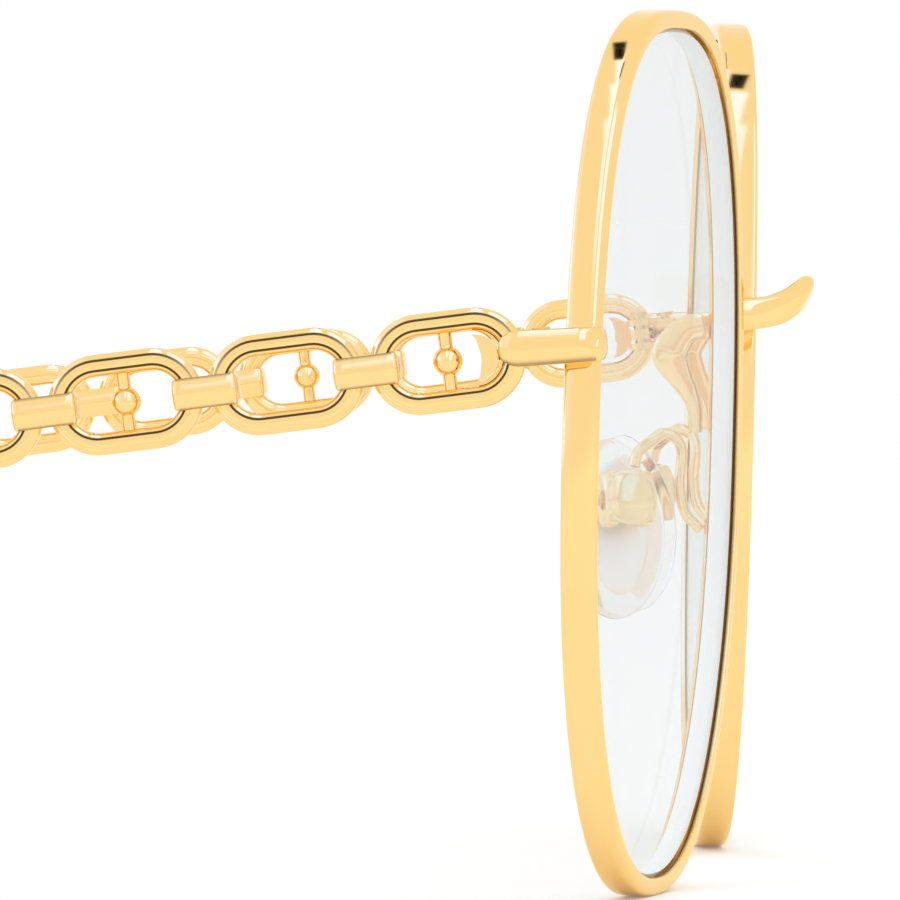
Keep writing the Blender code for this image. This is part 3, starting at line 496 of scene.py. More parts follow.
GOLD = add_painted_shade(polished("polished_pale_gold", (0.99, 0.705, 0.295), (0.96, 0.665, 0.265), metallic=1.0,
                           roughness=0.05, wear=0.03, bump=0.04, Specular_Tint=(1.0, 0.88, 0.64, 1.0)))
DEEP = polished("deep_polished_gold", (1.0, 0.72, 0.3), (0.97, 0.65, 0.24), metallic=1.0,
                roughness=0.09, wear=0.05, bump=0.05)
SATIN = polished("satin_pale_gold", (1.0, 0.88, 0.7), (0.98, 0.84, 0.64), metallic=1.0,
                 roughness=0.4, wear=0.1, bump=0.1)
SCREW = polished("turned_screw_gold", (0.93, 0.66, 0.28), (0.86, 0.56, 0.2), metallic=1.0,
                 roughness=0.16, wear=0.08, bump=0.15)
ACETATE = polished("champagne_acetate", (0.80, 0.62, 0.38), (0.55, 0.34, 0.15), metallic=0.0,
                   roughness=0.12, wear=0.06, bump=0.05, Coat_Weight=0.6, Coat_Roughness=0.05)


def make_lens_finish():
    """Clear tinted lens: a pale cool film on each face, a little denser in soft upright bands and
    towards grazing sight."""
    material, tree, shader = new_finish("clear_tinted_lens")
    cloud = noise(tree, scale=150.0, detail=1.0, stretch=(1.0, 1.0, 0.12))
    tint = mixed(tree, cloud, (0.67, 0.73, 0.72, 1.0), (0.50, 0.59, 0.59, 1.0))
    tree.links.new(tint, shader.inputs["Base Color"])
    shader.inputs["Roughness"].default_value = 0.03
    shader.inputs["Specular IOR Level"].default_value = 0.12
    facing = add_node(tree, "ShaderNodeLayerWeight", {"Blend": 0.5})
    cover = add_node(tree, "ShaderNodeMapRange", {"Value": facing.outputs["Facing"], "From Min": 0.2,
                                                  "From Max": 1.0, "To Min": LENS_CLEAREST,
                                                  "To Max": LENS_DENSEST})
    tree.links.new(cover.outputs["Result"], shader.inputs["Alpha"])
    return material


def make_ground_edge():
    """The lens's ground edge and bevels: frosted, with a fine grinding grain."""
    material, tree, shader = new_finish("ground_lens_edge")
    grain = noise(tree, scale=2500.0, detail=3.0)
    tint = mixed(tree, grain, (0.98, 0.99, 0.99, 1.0), (0.94, 0.97, 0.97, 1.0))
    tree.links.new(tint, shader.inputs["Base Color"])
    shader.inputs["Roughness"].default_value = 0.7
    return material


def clear(name, thin, thick, scale, roughness, ior):
    """A clear body whose tint wanders softly between two pale colours."""
    material, tree, shader = new_finish(name)
    cloud = noise(tree, scale, detail=1.0, stretch=(1.0, 1.0, 0.25))
    tint = mixed(tree, cloud, (*thin, 1.0), (*thick, 1.0))
    tree.links.new(tint, shader.inputs["Base Color"])
    shader.inputs["Roughness"].default_value = roughness
    shader.inputs["IOR"].default_value = ior
    shader.inputs["Transmission Weight"].default_value = 1.0
    return material


LENS = make_lens_finish()
LENS_EDGE = make_ground_edge()
SILICONE = clear("clear_silicone", (0.98, 0.97, 0.96), (0.95, 0.94, 0.93), scale=300.0, roughness=0.12,
                 ior=1.12)
FINISHES = {"gold": GOLD, "satin": SATIN, "deep": DEEP, "screw": SCREW, "lens": LENS, "pad": SILICONE,
            "tip": ACETATE}


# Pieces
def add_piece(name, shape, slot, body, node=None, finish=None):
    """Makes a piece from (points, faces, tones), rides it on its body and stands it for its CAD node."""
    points, faces, tones = shape
    mesh = bpy.data.meshes.new(name)
    mesh.from_pydata(points.tolist(), [], faces)
    # The tones are painted shade, standing in for shade and dark reflections
    mesh.attributes.new("painted_shade", "FLOAT", "POINT").data.foreach_set("value", tones.astype(np.float32))
    tidy = bmesh.new()
    tidy.from_mesh(mesh)
    bmesh.ops.remove_doubles(tidy, verts=tidy.verts, dist=MERGE_DISTANCE)
    bmesh.ops.recalc_face_normals(tidy, faces=tidy.faces)
    tidy.to_mesh(mesh)
    tidy.free()
    mesh.shade_smooth()
    mesh.set_sharp_from_angle(angle=SHARP_ANGLE)
    mesh.materials.append(FINISHES[finish or slot])
    piece = bpy.data.objects.new(name, mesh)
    bpy.context.scene.collection.objects.link(piece)
    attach(piece, body)
    if node:
        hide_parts(node)
    return piece


def add_pair(name, shape, axes_matrix, slot, body, node=None, finish=None):
    """A piece of the right side, and its mirror image on the left. SIDE in a name stands for the side."""
    points, faces, tones = shape
    right = placed(points, axes_matrix)
    for side, place in (("right", right), ("left", right * (-1, 1, 1))):
        add_piece(name.replace("SIDE", side), (place, faces, tones), slot, body.replace("SIDE", side),
                  node and node.replace("SIDE", side), finish)


def upright(flat):
    """(x, height) pairs as points in a frame's XZ plane."""
    return np.stack([flat[..., 0], np.zeros_like(flat[..., 0]), flat[..., 1]], axis=-1)


# Rims and lenses
lens_middle = LENS_RECESS + LENS_THICKNESS / 2
groove_mouth = LENS_THICKNESS / 2 - SEAT_GAP + SEAT_GAP * 2 ** 0.5
groove_floor = groove_mouth - GROOVE_DEPTH


def rim_shape():
    """The rim's rounded section carried round the opening, from one side of the split to the other. Its
    front corner is tighter towards the nose, where the lip in front of the lens carries painted shade, and its
    outer wall leans in towards the back on the temple's side."""
    split = np.arctan2(HINGE_ABOVE_CENTRE, -opening_half_width(HINGE_ABOVE_CENTRE))
    half_gap = SPLIT_WIDTH / OPENING_WIDTH
    angle = np.linspace(split + half_gap, split + 2 * pi - half_gap, 301)
    slight, crisp = 0.12 * MM, 0.03 * MM
    corners = [(0.0, 0.0), (RIM_WALL, 0.0), (RIM_WALL, RIM_DEPTH), (RIM_INNER_CHAMFER, RIM_DEPTH),
               (0.0, lens_middle + groove_mouth + crisp), (GROOVE_DEPTH, lens_middle + groove_floor),
               (GROOVE_DEPTH, lens_middle - groove_floor), (0.0, lens_middle - groove_mouth)]
    full, tight = (rounded(corners, [slight, front, RIM_BACK_ROUNDING] + [crisp] * 5, 9)
                   for front in (RIM_FRONT_ROUNDING, RIM_NASAL_ROUNDING))
    nasal = np.clip(0.5 + 1.2 * np.cos(angle), 0.0, 1.0)[:, None, None]
    section = full + nasal * (tight - full)
    # Painted shade on the lip in front of the lens, strongest towards the nose
    lip = (abs(full[:, 0]) < crisp) & (full[:, 1] < lens_middle) & (full[:, 1] > slight)
    tone = RIM_LIP_PAINTED_SHADE * lip * np.clip(2 * np.cos(angle) - 0.8 * np.sin(angle), 0.0, 1.0)[:, None]
    base = opening(angle)
    outward = opening(angle, 1.0) - base
    draft = RIM_DRAFT * np.clip(-np.cos(angle), 0.0, 1.0)[:, None]
    reach = section[..., 0] - draft * section[..., 1] * (section[..., 0] > RIM_WALL / 2) - RIM_SKIN_INSIDE
    flat = base[:, None] + reach[..., None] * outward[:, None]
    grid = np.stack([flat[..., 0], section[..., 1], flat[..., 1]], axis=-1)
    return surface(grid, tone=tone)


def lens_shape():
    """A flat lens: rings of the opening's outline grow over the front, step out over the bevel to the
    edge, and shrink again over the back."""
    angle = ring_angles(180)
    half, flat_half = LENS_THICKNESS / 2, LENS_THICKNESS / 2 - LENS_BEVEL
    rings = []
    edge = 0.02 * MM
    front = [(0.02, 0, -half), (0.5, 0, -half), (0.97, 0, -half), (1, -edge, -half), (1, 0, edge - half),
             (1, LENS_BEVEL, -flat_half)]
    for share, out, back in front + [(share, out, -back) for share, out, back in front[::-1]]:
        ring = upright(share * opening(angle, out - SEAT_GAP))
        ring[:, 1] = lens_middle + back
        rings.append(ring)
    return surface(np.array(rings))


add_pair("rim_ring_SIDE", rim_shape(), RIM, "gold", "front", "rim_SIDE")
add_pair("lens_disc_SIDE", lens_shape(), RIM, "lens", "front", "lens_SIDE")
for side in ("right", "left"):
    disc = bpy.data.objects[f"lens_disc_{side}"].data
    disc.materials.append(LENS_EDGE)
    normals = np.array([face.normal for face in disc.polygons])
    facing = RIM[:3, 1] * ((1, 1, 1) if side == "right" else (-1, 1, 1))
    on_edge = abs(normals @ facing) < 0.9
    disc.polygons.foreach_set("material_index", on_edge.astype(np.int32))


# Bridge and claws
def bridge_shape():
    """A rounded bar along half a superellipse that bows forward from the nasal walls. Its middle rises as
    the bow's share to the power BRIDGE_RISE_POWER, and leans forward as it rises."""
    wall_x = opening_half_width(BRIDGE_ABOVE_CENTRE) + RIM_WALL
    wall = placed(np.array([wall_x, RIM_DEPTH, BRIDGE_ABOVE_CENTRE]), RIM)
    half_span = -wall[0] - SEAT_GAP - BRIDGE_THICKNESS / 2
    angle = np.linspace(0.0, pi, 81)
    ahead = np.sin(angle) ** BRIDGE_BOW_POWER
    rise = ahead ** BRIDGE_RISE_POWER
    path = np.stack([-half_span * np.sign(np.cos(angle)) * abs(np.cos(angle)) ** BRIDGE_BOW_POWER,
                     wall[1] - SEAT_GAP - BRIDGE_BOW * ahead,
                     rim_place[2] + BRIDGE_ABOVE_CENTRE + BRIDGE_RISE * rise], axis=-1)
    up = unit(np.stack([0 * rise, -BRIDGE_TIP_LEAN * rise, 1 + 0 * rise], axis=-1))
    section = superellipse(BRIDGE_THICKNESS - 0.06 * MM, BRIDGE_HEIGHT - 0.04 * MM, BRIDGE_SQUARENESS)
    return surface(round_ends(carry(path, section, up), 0.15 * MM))


CLAW_SPINE = ((0.04, 0.0, 0.67), (0.49, 0.03, 0.8), (0.86, 0.155, 0.945), (1.0, 0.285, 1.0),
              (0.735, 0.46, 0.74), (0.455, 0.61, 0.555), (0.255, 0.77, 0.425), (0.205, 1.0, 0.37))


def claw_shape():
    """A ribbon whose middle line and width pass through CLAW_SPINE, given as shares of the claw's reach,
    drop and full width. Its section has flat sides with chamfered, slightly rounded edges."""
    spine = through(np.array(CLAW_SPINE) * (CLAW_REACH, -CLAW_DROP, CLAW_WIDTH), 10)
    path = np.stack([np.zeros(len(spine)), spine[:, 0], spine[:, 1]], axis=-1)
    path += (opening_half_width(CLAW_ABOVE_CENTRE) + RIM_WALL / 2, RIM_DEPTH + SEAT_GAP, CLAW_ABOVE_CENTRE)
    width = CLAW_WIDTH_INSIDE * spine[:, 2, None]
    side = CLAW_THICKNESS / 2
    cut = CLAW_CHAMFER
    x = np.concatenate([width / 2 - cut, width / 2, width / 2, width / 2 - cut,
                        cut - width / 2, -width / 2, -width / 2, cut - width / 2], axis=1)
    y = np.array([-side, cut - side, side - cut, side, side, side - cut, cut - side, -side])
    corners = np.stack([x, np.broadcast_to(y, x.shape)], axis=-1)
    section = np.stack([rounded(ring, CLAW_EDGE_RADIUS, 4) for ring in corners])
    return surface(round_ends(carry(path, section, (1, 0, 0)), 0.1 * MM))


add_piece("bridge_bar", bridge_shape(), "gold", "front", "bridge")
add_pair("claw_ribbon_SIDE", claw_shape(), RIM, "gold", "front", "bridge_claw_SIDE")


# Nose pads and what carries them: +X to the nose, +Y back, +Z up, from the pad's pin
insert_face = PAD_BOX_FRONT + INSERT_GAP


def pad_disc(height, width, thickness, middle, edge, rings=14, around=64):
    """An upright oval cushion about (middle, 0, -PAD_BELOW_PIVOT), narrower above. Its half thickness
    falls as (1 - r^edge)^(1/edge) from the middle to the rim."""
    angle = ring_angles(around)
    narrow = 1.0 - PAD_NARROWING * np.clip(np.sin(angle), 0.0, 1.0) ** 2
    turn = np.linspace(0.0, pi, 2 * rings)
    r = abs(np.sin(turn)) ** (2 / edge)
    x = np.sign(np.cos(turn)) * abs(np.cos(turn)) ** (2 / edge) * thickness / 2
    grid = np.zeros((len(turn), around, 3))
    grid[..., 0] = middle + x[:, None]
    grid[..., 1] = r[:, None] * width / 2 * np.cos(angle) * narrow
    grid[..., 2] = r[:, None] * height / 2 * np.sin(angle) - PAD_BELOW_PIVOT
    return surface(grid)


def insert_shape():
    """The leaf inside the pad, and the lug that runs back from it to the pin."""
    leaf = pad_disc(INSERT_HEIGHT, INSERT_WIDTH, INSERT_THICKNESS, insert_face + INSERT_THICKNESS / 2,
                    INSERT_EDGE_POWER)
    size = (insert_face + PAD_LUG_RADIUS, PAD_LUG_THICKNESS, 2 * PAD_LUG_RADIUS)
    tongue = pebble(size, along=6.0, across=3.0)
    tongue = tongue + ((insert_face - PAD_LUG_RADIUS) / 2, 0, 0)
    return joined(leaf, surface(tongue))


def pad_box_shape():
    """Two cheeks, each a rounded block, and a domed back that is flat inside, round the lug's slot."""
    cheek_width = (PAD_BOX_WIDTH - PAD_LUG_THICKNESS) / 2 - SEAT_GAP
    depth = PAD_BOX_FRONT + PAD_CHEEK_SHARE * PAD_BOX_BACK
    middle = (PAD_BOX_FRONT - PAD_CHEEK_SHARE * PAD_BOX_BACK) / 2
    offset = (PAD_BOX_WIDTH - cheek_width) / 2
    cheek = pebble((depth, cheek_width, PAD_BOX_HEIGHT), along=5.0, across=3.2)
    cheeks = [surface(cheek + (middle, side * offset, 0)) for side in (-1, 1)]
    crown = PAD_BOX_BACK + 0.15 * MM
    back = pebble((2 * PAD_BOX_DOME, PAD_BOX_WIDTH, PAD_BOX_HEIGHT), along=2.3, across=2.15, steps=32,
                  around=48)
    back[..., 0] = np.minimum(back[..., 0] + PAD_BOX_DOME - crown, -PAD_LUG_RADIUS - SEAT_GAP)
    return joined(surface(back), *cheeks)


def pad_arm_path():
    """The gooseneck's route in the world, from the rim's back over its loop to the box's top."""
    top = placed(np.array([-0.4 * PAD_BOX_BACK, -0.15 * PAD_BOX_WIDTH, PAD_BOX_HEIGHT / 2 + SEAT_GAP]), PAD)
    foot = placed(np.array([opening_half_width(-ARM_FOOT_BELOW_CENTRE) + RIM_WALL / 2, RIM_DEPTH + SEAT_GAP,
                            -ARM_FOOT_BELOW_CENTRE]), RIM)
    loop = np.array([(top[0] + 2 * foot[0]) / 3, foot[1] + ARM_LOOP_REACH, top[2] + ARM_LOOP_RISE])
    stops = [foot, foot + np.array([0, 1.1, 1.3]) * MM, foot + np.array([-0.1, 1.45, 3.2]) * MM,
             foot + np.array([-0.1, 1.3, 5.4]) * MM, loop + np.array([0.2, -0.95, -0.4]) * MM, loop,
             loop + np.array([-0.3, 0.7, -0.45]) * MM, top + np.array([0.1, -0.3, 1.0]) * MM, top]
    return through(stops, 8)


def pad_arm_shape():
    circle = superellipse(2 * ARM_WIRE_RADIUS, 2 * ARM_WIRE_RADIUS, 2.0, 20)
    return surface(round_ends(carry(pad_arm_path(), circle, (1, 0, 0)), 0.1 * MM))


silicone = pad_disc(PAD_HEIGHT, PAD_WIDTH, PAD_THICKNESS, insert_face + PAD_THICKNESS / 2, PAD_EDGE_POWER)
add_pair("silicone_pad_SIDE", silicone, PAD, "pad", "nose_pad_SIDE_body", "nose_pad_SIDE")
add_pair("pad_leaf_SIDE", insert_shape(), PAD, "gold", "nose_pad_SIDE_body", "pad_insert_SIDE", "satin")
add_pair("pad_clevis_SIDE", pad_box_shape(), PAD, "gold", "front", "pad_box_SIDE", "deep")
add_pair("gooseneck_SIDE", pad_arm_shape(), WORLD, "gold", "front", "pad_arm_SIDE")


# End pieces: a bar along the link's front, past the rim's wall and round its front corner
link_offset = -(KNUCKLE_RADIUS + SEAT_GAP + LINK_THICKNESS / 2)
swing = np.hypot(LINK_THICKNESS / 2 - link_offset, FIRST_LINK_AHEAD) + SEAT_GAP


def end_piece_shape():
    """A rounded bar carried along an L in plan, with lower sections towards the nub, a tapered rear end
    and painted shade on its underside, and the block between it and the rim's wall."""
    outside = -(swing + END_PLATE)
    front = -(HINGE_BEHIND_RIM + RIM_DEPTH + END_HOOK)
    hook = RIM_WALL - HINGE_INSIDE_RIM - SEAT_GAP
    inset = END_THICKNESS / 2
    bend = END_BEND_RADIUS - inset
    turn = np.linspace(0.0, pi / 2, 17)[:, None]
    centre = np.array([outside + END_BEND_RADIUS, front + END_BEND_RADIUS])
    corner = centre - bend * np.concatenate([np.cos(turn), np.sin(turn)], axis=1)
    run = np.linspace(END_OVERLAP - inset, corner[0, 1], 61)[:-1]
    rear = np.stack([np.full(len(run), outside + inset), run], axis=-1)
    nose = np.stack([np.linspace(corner[-1, 0], hook - inset, 7)[1:], np.full(6, front + inset)], axis=-1)
    flat = np.concatenate([rear, corner, nose])
    path = np.stack([flat[:, 0], flat[:, 1], np.full(len(flat), END_ABOVE_HINGE)], axis=-1)
    share = np.clip((END_OVERLAP - path[:, 1]) / (END_OVERLAP - front), 0.0, 1.0)[:, None, None]
    height = END_HEIGHT + (END_NUB_HEIGHT - END_HEIGHT) * share
    section = superellipse(END_THICKNESS, END_HEIGHT, END_SQUARENESS, 48)
    near_end = np.clip(1 - (END_OVERLAP - inset - path[:, 1]) / END_TAPER_LENGTH, 0.0, 1.0)
    taper = 1 - END_REAR_TAPER * near_end[:, None, None] ** 3
    sections = section * np.concatenate([taper, taper * height / END_HEIGHT], axis=-1)
    # Painted shade over the lower part of the bar's section
    below = -section[:, 1] / END_HEIGHT
    tone = END_SHADE_TONE * np.clip((below - END_SHADE_START) / END_SHADE_RUN, 0.0, 1.0)
    bar = surface(round_ends(carry(path, sections, (0, 0, 1)), inset), tone=tone)
    width = -outside - KNUCKLE_RADIUS - SEAT_GAP - inset
    depth = RIM_DEPTH + END_BLOCK_DEPTH_SHARE * HINGE_BEHIND_RIM
    block = pebble((width, depth, END_BLOCK_HEIGHT_SHARE * END_HEIGHT), along=6.0, across=3.0)
    block = block + (outside + inset + width / 2, front + END_HOOK + depth / 2 - inset, 0)
    return joined(bar, surface(block))


add_pair("end_hook_SIDE", end_piece_shape(), END, "gold", "front", "end_piece_SIDE")


# Chain-link temples
def link_front(index):
    """How far behind the hinge a link starts, counted from 0."""
    return -FIRST_LINK_AHEAD + index * (LINK_LENGTH + LINK_SPACE)


def ring_shape(length, front, steps=24):
    """A link: a chamfered, rounded band carried round a stadium in the temple's plane. Fine grooves on
    its outer face carry painted shade, the inner one all round and the outer one on the upper half."""
    radius = (LINK_HEIGHT - LINK_BAND) / 2
    straight = (length - LINK_HEIGHT) / 2
    turn = np.linspace(-pi / 2, pi / 2, steps)
    half = np.stack([straight + radius * np.cos(turn), radius * np.sin(turn)], axis=-1)
    stops = np.linspace(0.0, 1.0, 10)[1:-1, None]
    run = half[-1] * (1 - stops) + half[-1] * (-1, 1) * stops if straight > 0 else half[:0]
    flat = np.concatenate([half, run, -half, -run])
    path = np.stack([np.full(len(flat), link_offset), flat[:, 0] + front + length / 2, flat[:, 1]], axis=-1)
    x, y, line = LINK_BAND / 2, LINK_THICKNESS / 2, LINK_LINE
    quarter = np.array([(line - 0.07 * MM, -y), (line, 0.08 * MM - y), (line + 0.07 * MM, 0.03 * MM - y),
                        (x, LINK_CHAMFER - y)])
    outer = np.concatenate([quarter, quarter[::-1] * (1, -1)])
    soft = np.array((0.03, 0.03, 0.05, 0.12)) * MM
    corners = np.concatenate([outer, outer[::-1] * (-1, 1)])
    section = rounded(corners, np.tile(np.append(soft, soft[::-1]), 2), 4)
    # Painted shade along the grooves
    shaded_groove = np.clip((0.1 * MM - abs(abs(section[:, 0]) - line)) / (0.03 * MM), 0.0, 1.0)
    upper = np.clip(path[:, 2:] / radius, 0.0, 1.0)
    tone = LINK_LINE_PAINTED_SHADE * shaded_groove * (section[:, 1] < 0) * np.where(section[:, 0] > 0, 1.0, upper)
    return surface(carry(path, section, (1, 0, 0), True), loop=True, tone=tone)


def stud_shape(front):
    """An upright bar with a bead at its middle, turned about the link's short axis."""
    reach = LINK_HEIGHT / 2 - LINK_BAND / 2
    t = np.linspace(-1.0, 1.0, 61)
    height = t * reach
    bead = np.sqrt(np.maximum(STUD_BEAD_RADIUS ** 2 - height ** 2, 0.0))
    radius = np.maximum(STUD_WIDTH / 2 * (1 + STUD_FLARE * abs(t) ** 6), bead)
    middle = (link_offset, front + LINK_LENGTH / 2, 0)
    return surface(turned(np.stack([radius, height], axis=-1), middle, (0, 0, 1)))


def pillow(thickness, height, tilt, corner, steps=13):
    """A section with convex sides: each side is an arc whose direction turns from -tilt to tilt, and its
    ends join a top and a bottom face by corners of the given radius."""
    radius = (height / 2 - corner) / sin(tilt)
    turn = np.linspace(-tilt, tilt, steps)
    side = np.stack([thickness / 2 - radius * (1 - np.cos(turn)), radius * np.sin(turn)], axis=-1)
    bend = np.linspace(tilt, pi / 2, 6)[1:]
    centre = side[-1] - corner * np.array([cos(tilt), sin(tilt)])
    top = centre + corner * np.stack([np.cos(bend), np.sin(bend)], axis=-1)
    right = np.concatenate([top[::-1] * (1, -1), side, top])
    return np.concatenate([right, right[::-1] * (-1, 1)])


def pillow_bar(section, length, depth, steps=7, run=12):
    """A section carried along y, whose ends round off: over each end the section shrinks by
    1 - (1 - cos(t)) * share and moves out by depth * sin(t)."""
    t = np.linspace(0.0, pi / 2, steps + 1)[1:]
    inner = np.linspace(depth - length / 2, length / 2 - depth, run)
    end = length / 2 - depth + depth * np.sin(t)
    where = np.concatenate([-end[::-1], inner, end])
    reach = 2 * depth / (section.max(axis=0) - section.min(axis=0))
    size = np.concatenate([np.cos(t)[::-1], np.ones(run), np.cos(t)])[:, None]
    scale = 1 - (1 - size) * reach
    grid = np.zeros((len(where), len(section), 3))
    grid[..., 0] = scale[:, :1] * section[:, 0]
    grid[..., 1] = where[:, None]
    grid[..., 2] = scale[:, 1:] * section[:, 1]
    return grid


def connector_shape(index):
    """A barrel over two neighbouring links' ends, with painted shade along its outer edges."""
    thickness = LINK_THICKNESS + 2 * SEAT_GAP + 2 * CONNECTOR_WALL
    section = pillow(thickness, CONNECTOR_HEIGHT, CONNECTOR_TILT, CONNECTOR_CORNER)
    barrel = pillow_bar(section, CONNECTOR_LENGTH, CONNECTOR_END)
    edge = CONNECTOR_HEIGHT / 2 - CONNECTOR_CORNER
    # Painted shade along the outer edges, away from the ends
    inner = abs(barrel[:, 0, 1]) < CONNECTOR_LENGTH / 2 - 0.3 * MM
    outside = (section[:, 0] < 0) & (abs(abs(section[:, 1]) - edge) < 0.05 * MM)
    tone = CONNECTOR_PAINTED_SHADE * inner[:, None] * outside
    return surface(barrel + (link_offset, link_front(index + 1) - LINK_SPACE / 2, 0), tone=tone)


for link in range(LINK_COUNT):
    number = link + 1
    ring = ring_shape(LINK_LENGTH, link_front(link))
    add_pair(f"link_ring_{number}_SIDE", ring, HINGE, "gold", "temple_SIDE", f"link_{number}_SIDE")
    add_pair(f"link_barrel_{number}_SIDE", connector_shape(link), HINGE, "gold", "temple_SIDE",
             f"connector_{number}_SIDE")
    if link % 2 == 0:
        add_pair(f"link_stud_{number}_SIDE", stud_shape(link_front(link)), HINGE, "gold", "temple_SIDE")


# Temple arms and tips
def temple_route(bend, stations):
    """(back, up) along the temple: straight, then an arc that turns down by bend, then straight."""
    arc = EAR_BEND_RADIUS * bend
    turn = np.clip((stations - EAR_BEND_START) / EAR_BEND_RADIUS, 0.0, bend)
    past = np.maximum(stations - EAR_BEND_START - arc, 0.0)
    back = np.minimum(stations, EAR_BEND_START) + EAR_BEND_RADIUS * np.sin(turn) + past * np.cos(turn)
    up = -EAR_BEND_RADIUS * (1 - np.cos(turn)) - past * np.sin(turn)
    return np.stack([np.full(len(stations), link_offset), back, up], axis=-1)


def ear_bend():
    """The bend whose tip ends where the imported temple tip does."""
    low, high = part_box("temple_tip_right")
    bends = np.linspace(radians(5.0), radians(60.0), 2000)
    arc = EAR_BEND_RADIUS * bends
    past = TEMPLE_LENGTH - EAR_BEND_START - arc
    back = EAR_BEND_START + EAR_BEND_RADIUS * np.sin(bends) + past * np.cos(bends)
    up = -EAR_BEND_RADIUS * (1 - np.cos(bends)) - past * np.sin(bends)
    reach = HINGE[1, 3] + back * HINGE[1, 1] + up * HINGE[1, 2]
    return bends[np.argmin(abs(reach - high[1]))]


BEND = ear_bend()


def arm_shape():
    """The loop and the slim arm behind it, up to the inside of the sleeve."""
    front = link_front(LINK_COUNT)
    stations = np.linspace(front + ARM_LOOP_LENGTH - LINK_BAND / 2, SLEEVE_START + 6 * MM, 60)
    circle = superellipse(2 * ARM_RADIUS, 2 * ARM_RADIUS, 2.0, 24)
    share = np.linspace(0.0, 1.0, len(stations))[:, None, None]
    swell = 1 + ARM_SWELL * np.exp(-(share / ARM_SWELL_LENGTH_SHARE) ** 2)
    bar = round_ends(carry(temple_route(BEND, stations), circle * swell, (1, 0, 0)), 0.2 * MM)
    return joined(ring_shape(ARM_LOOP_LENGTH, front), surface(bar))


def tip_shape():
    """The sleeve: an oval section carried round the ear bend, fuller towards its rounded end."""
    stations = np.linspace(SLEEVE_START + SLEEVE_GAP, TEMPLE_LENGTH - SLEEVE_HALF_HEIGHT - SLEEVE_GAP, 90)
    section = superellipse(2 * SLEEVE_HALF_WIDTH, 2 * SLEEVE_HALF_HEIGHT, 2.2, 36)[:, ::-1]
    share = np.linspace(0.0, 1.0, len(stations))[:, None, None]
    grow = SLEEVE_SLIM_SHARE + (1 - SLEEVE_SLIM_SHARE) * np.clip(share * 1.6, 0, 1)
    grid = carry(temple_route(BEND, stations), section * grow, (1, 0, 0))
    steps = 8
    domed = round_ends(grid, SLEEVE_HALF_HEIGHT, steps)
    domed[:steps] = round_ends(grid, SLEEVE_GAP, steps)[:steps]
    return surface(domed)


add_pair("arm_bar_SIDE", arm_shape(), HINGE, "gold", "temple_SIDE", "temple_arm_SIDE")
add_pair("ear_sleeve_SIDE", tip_shape(), HINGE, "tip", "temple_SIDE", "temple_tip_SIDE")


# CAD pieces that stay get the fine finishes
for entry in frame["record"]["subparts"]:
    solid = frame["nodes"][entry["node"]]
    solid.data.materials.clear()
    solid.data.materials.append(FINISHES[entry["material_slot"]])


# Studio: a pale floor and a soft environment
FLOOR_HALF_SIZE = 30.0
FLOOR_COLOUR = (0.88, 0.88, 0.88, 1.0)
FLOOR_LIFT = 0.13


def make_floor():
    """A wide floor that is white to the camera where nothing shades it."""
    size = FLOOR_HALF_SIZE
    corners = np.array([(-size, -size, 0), (size, -size, 0), (size, size, 0), (-size, size, 0)], dtype=float)
    mesh = bpy.data.meshes.new("floor")
    mesh.from_pydata(corners.tolist(), [], [(0, 1, 2, 3)])
    floor = bpy.data.objects.new("floor", mesh)
    bpy.context.scene.collection.objects.link(floor)
    material, tree, shader = new_finish("pale_floor")
    shader.inputs["Base Color"].default_value = FLOOR_COLOUR
    shader.inputs["Roughness"].default_value = 0.9
    shader.inputs["Specular IOR Level"].default_value = 0.0
    sight = add_node(tree, "ShaderNodeLightPath")
    shader.inputs["Emission Color"].default_value = WHITE
    mirrored = computed(tree, "MAXIMUM", sight.outputs["Is Glossy Ray"], sight.outputs["Is Transmission Ray"])
    seen = computed(tree, "MAXIMUM", sight.outputs["Is Camera Ray"], mirrored)
    tree.links.new(computed(tree, "MULTIPLY", seen, FLOOR_LIFT), shader.inputs["Emission Strength"])
    mesh.materials.append(material)


def direction_band(tree, value, low, high, soft):
    """1 between low and high, falling smoothly to 0 over soft on each side."""
    rise = add_node(tree, "ShaderNodeMapRange", {"Value": value, "From Min": low - soft, "From Max": low},
                    interpolation_type="SMOOTHSTEP")
    fall = add_node(tree, "ShaderNodeMapRange", {"Value": value, "From Min": high, "From Max": high + soft,
                                                 "To Min": 1.0, "To Max": 0.0}, interpolation_type="SMOOTHSTEP")
    return computed(tree, "MULTIPLY", rise.outputs["Result"], fall.outputs["Result"])


# Cards that polished metal sees in the pale room: the light each gives, and the (low, high, softness)
# of the x, y and z of the directions that it fills
CARDS = (
    ("back glow", (1.0, 1.1, 1.45), (-1.1, 1.1, 0.1), (0.45, 1.1, 0.1), (0.0, 1.1, 0.2)),
    ("back wall", (1.03, 1.4, 2.8), (-1.1, 1.1, 0.1), (0.86, 1.1, 0.06), (-0.3, 0.4, 0.2)),
    ("side strip", (1.03, 1.36, 2.5), (-1.1, -0.12, 0.08), (-0.1, 0.165, 0.015), (0.8, 1.1, 0.6)),
    ("front strip", (1.03, 1.4, 2.6), (-1.1, -0.05, 0.15), (-0.6, -0.235, 0.03), (0.22, 1.1, 0.15)),
    ("top card", (1.03, 1.45, 2.9), (-0.15, 0.25, 0.04), (-0.065, 0.13, 0.015), (0.5, 1.1, 0.1)),
    ("upper streak", (1.03, 1.45, 2.9), (0.2, 0.5, 0.04), (0.02, 0.1, 0.015), (0.5, 1.1, 0.1)),
    ("near dark card", (0.0, 0.0, 0.0), (0.54, 0.7, 0.03), (0.08, 0.112, 0.01), (0.3, 1.1, 0.1)),
    ("far dark card", (0.0, 0.0, 0.0), (0.32, 0.46, 0.03), (-0.046, 0.0, 0.008), (0.5, 1.1, 0.1)),
)


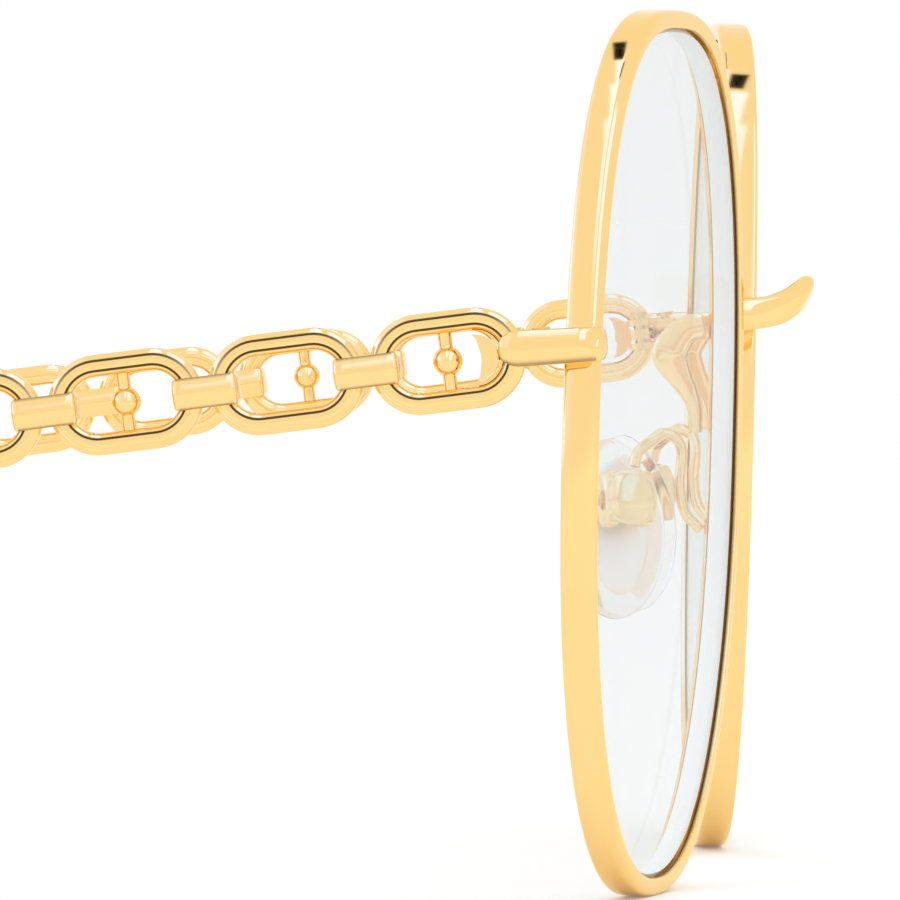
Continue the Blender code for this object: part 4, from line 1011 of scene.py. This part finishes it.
def make_world():
    """White to the camera and through glass. Metal sees a plain pale room with the cards in it."""
    world = bpy.data.worlds.new("studio")
    bpy.context.scene.world = world
    world.use_nodes = True
    tree = world.node_tree
    tree.nodes.clear()
    output = tree.nodes.new("ShaderNodeOutputWorld")
    place = add_node(tree, "ShaderNodeTexCoord")
    split = add_node(tree, "ShaderNodeSeparateXYZ", {"Vector": place.outputs["Generated"]})
    light = WHITE
    for name, level, *bands in CARDS:
        x, y, z = (direction_band(tree, split.outputs[axis], *band) for axis, band in zip("XYZ", bands))
        mask = computed(tree, "MULTIPLY", computed(tree, "MULTIPLY", x, y), z)
        light = mixed(tree, mask, light, (*level, 1.0))
        light.node.label = name
    path = add_node(tree, "ShaderNodeLightPath")
    mirrored = add_node(tree, "ShaderNodeBackground", {"Color": light, "Strength": 1.0})
    plain = add_node(tree, "ShaderNodeBackground", {"Color": WHITE, "Strength": 1.0})
    mix = add_node(tree, "ShaderNodeMixShader", {0: path.outputs["Is Glossy Ray"],
                                                 1: plain.outputs["Background"],
                                                 2: mirrored.outputs["Background"]})
    tree.links.new(mix.outputs["Shader"], output.inputs["Surface"])


def make_lamp(name, place, aim, size, power):
    """A square area lamp that polished metal doesn't mirror."""
    light = bpy.data.lights.new(name, "AREA")
    light.size = size
    light.energy = power
    lamp = bpy.data.objects.new(name, light)
    lamp.location = place
    lamp.rotation_euler = (Vector(aim) - Vector(place)).to_track_quat("-Z", "Y").to_euler()
    lamp.visible_glossy = False
    bpy.context.scene.collection.objects.link(lamp)


def make_camera():
    """The camera at the photograph's viewing angle, from the wearer's right and a little ahead."""
    camera = bpy.data.cameras.new("photo_camera")
    camera.sensor_width = SENSOR_MM
    camera.lens = SENSOR_MM * FOCAL_PIXELS / PICTURE_PIXELS
    camera.clip_start = 0.05
    camera.clip_end = 100.0
    eye = bpy.data.objects.new("photo_camera", camera)
    bpy.context.scene.collection.objects.link(eye)
    ahead = Vector((cos(VIEW_TURN) * cos(VIEW_DROP), sin(VIEW_TURN) * cos(VIEW_DROP), -sin(VIEW_DROP)))
    aim = Vector((0.0, rim_place[1] + AIM_BEHIND_RIM, rim_place[2] - AIM_BELOW_RIM))
    eye.location = aim - CAMERA_DISTANCE * ahead
    eye.rotation_euler = ahead.to_track_quat("-Z", "Y").to_euler()
    bpy.context.scene.camera = eye


make_floor()
make_world()
make_lamp("key_lamp", place=(-0.5, -0.5, 0.9), aim=(0.0, -0.03, 0.03), size=0.7, power=1.5)
make_camera()
bpy.context.scene.view_settings.view_transform = "Standard"
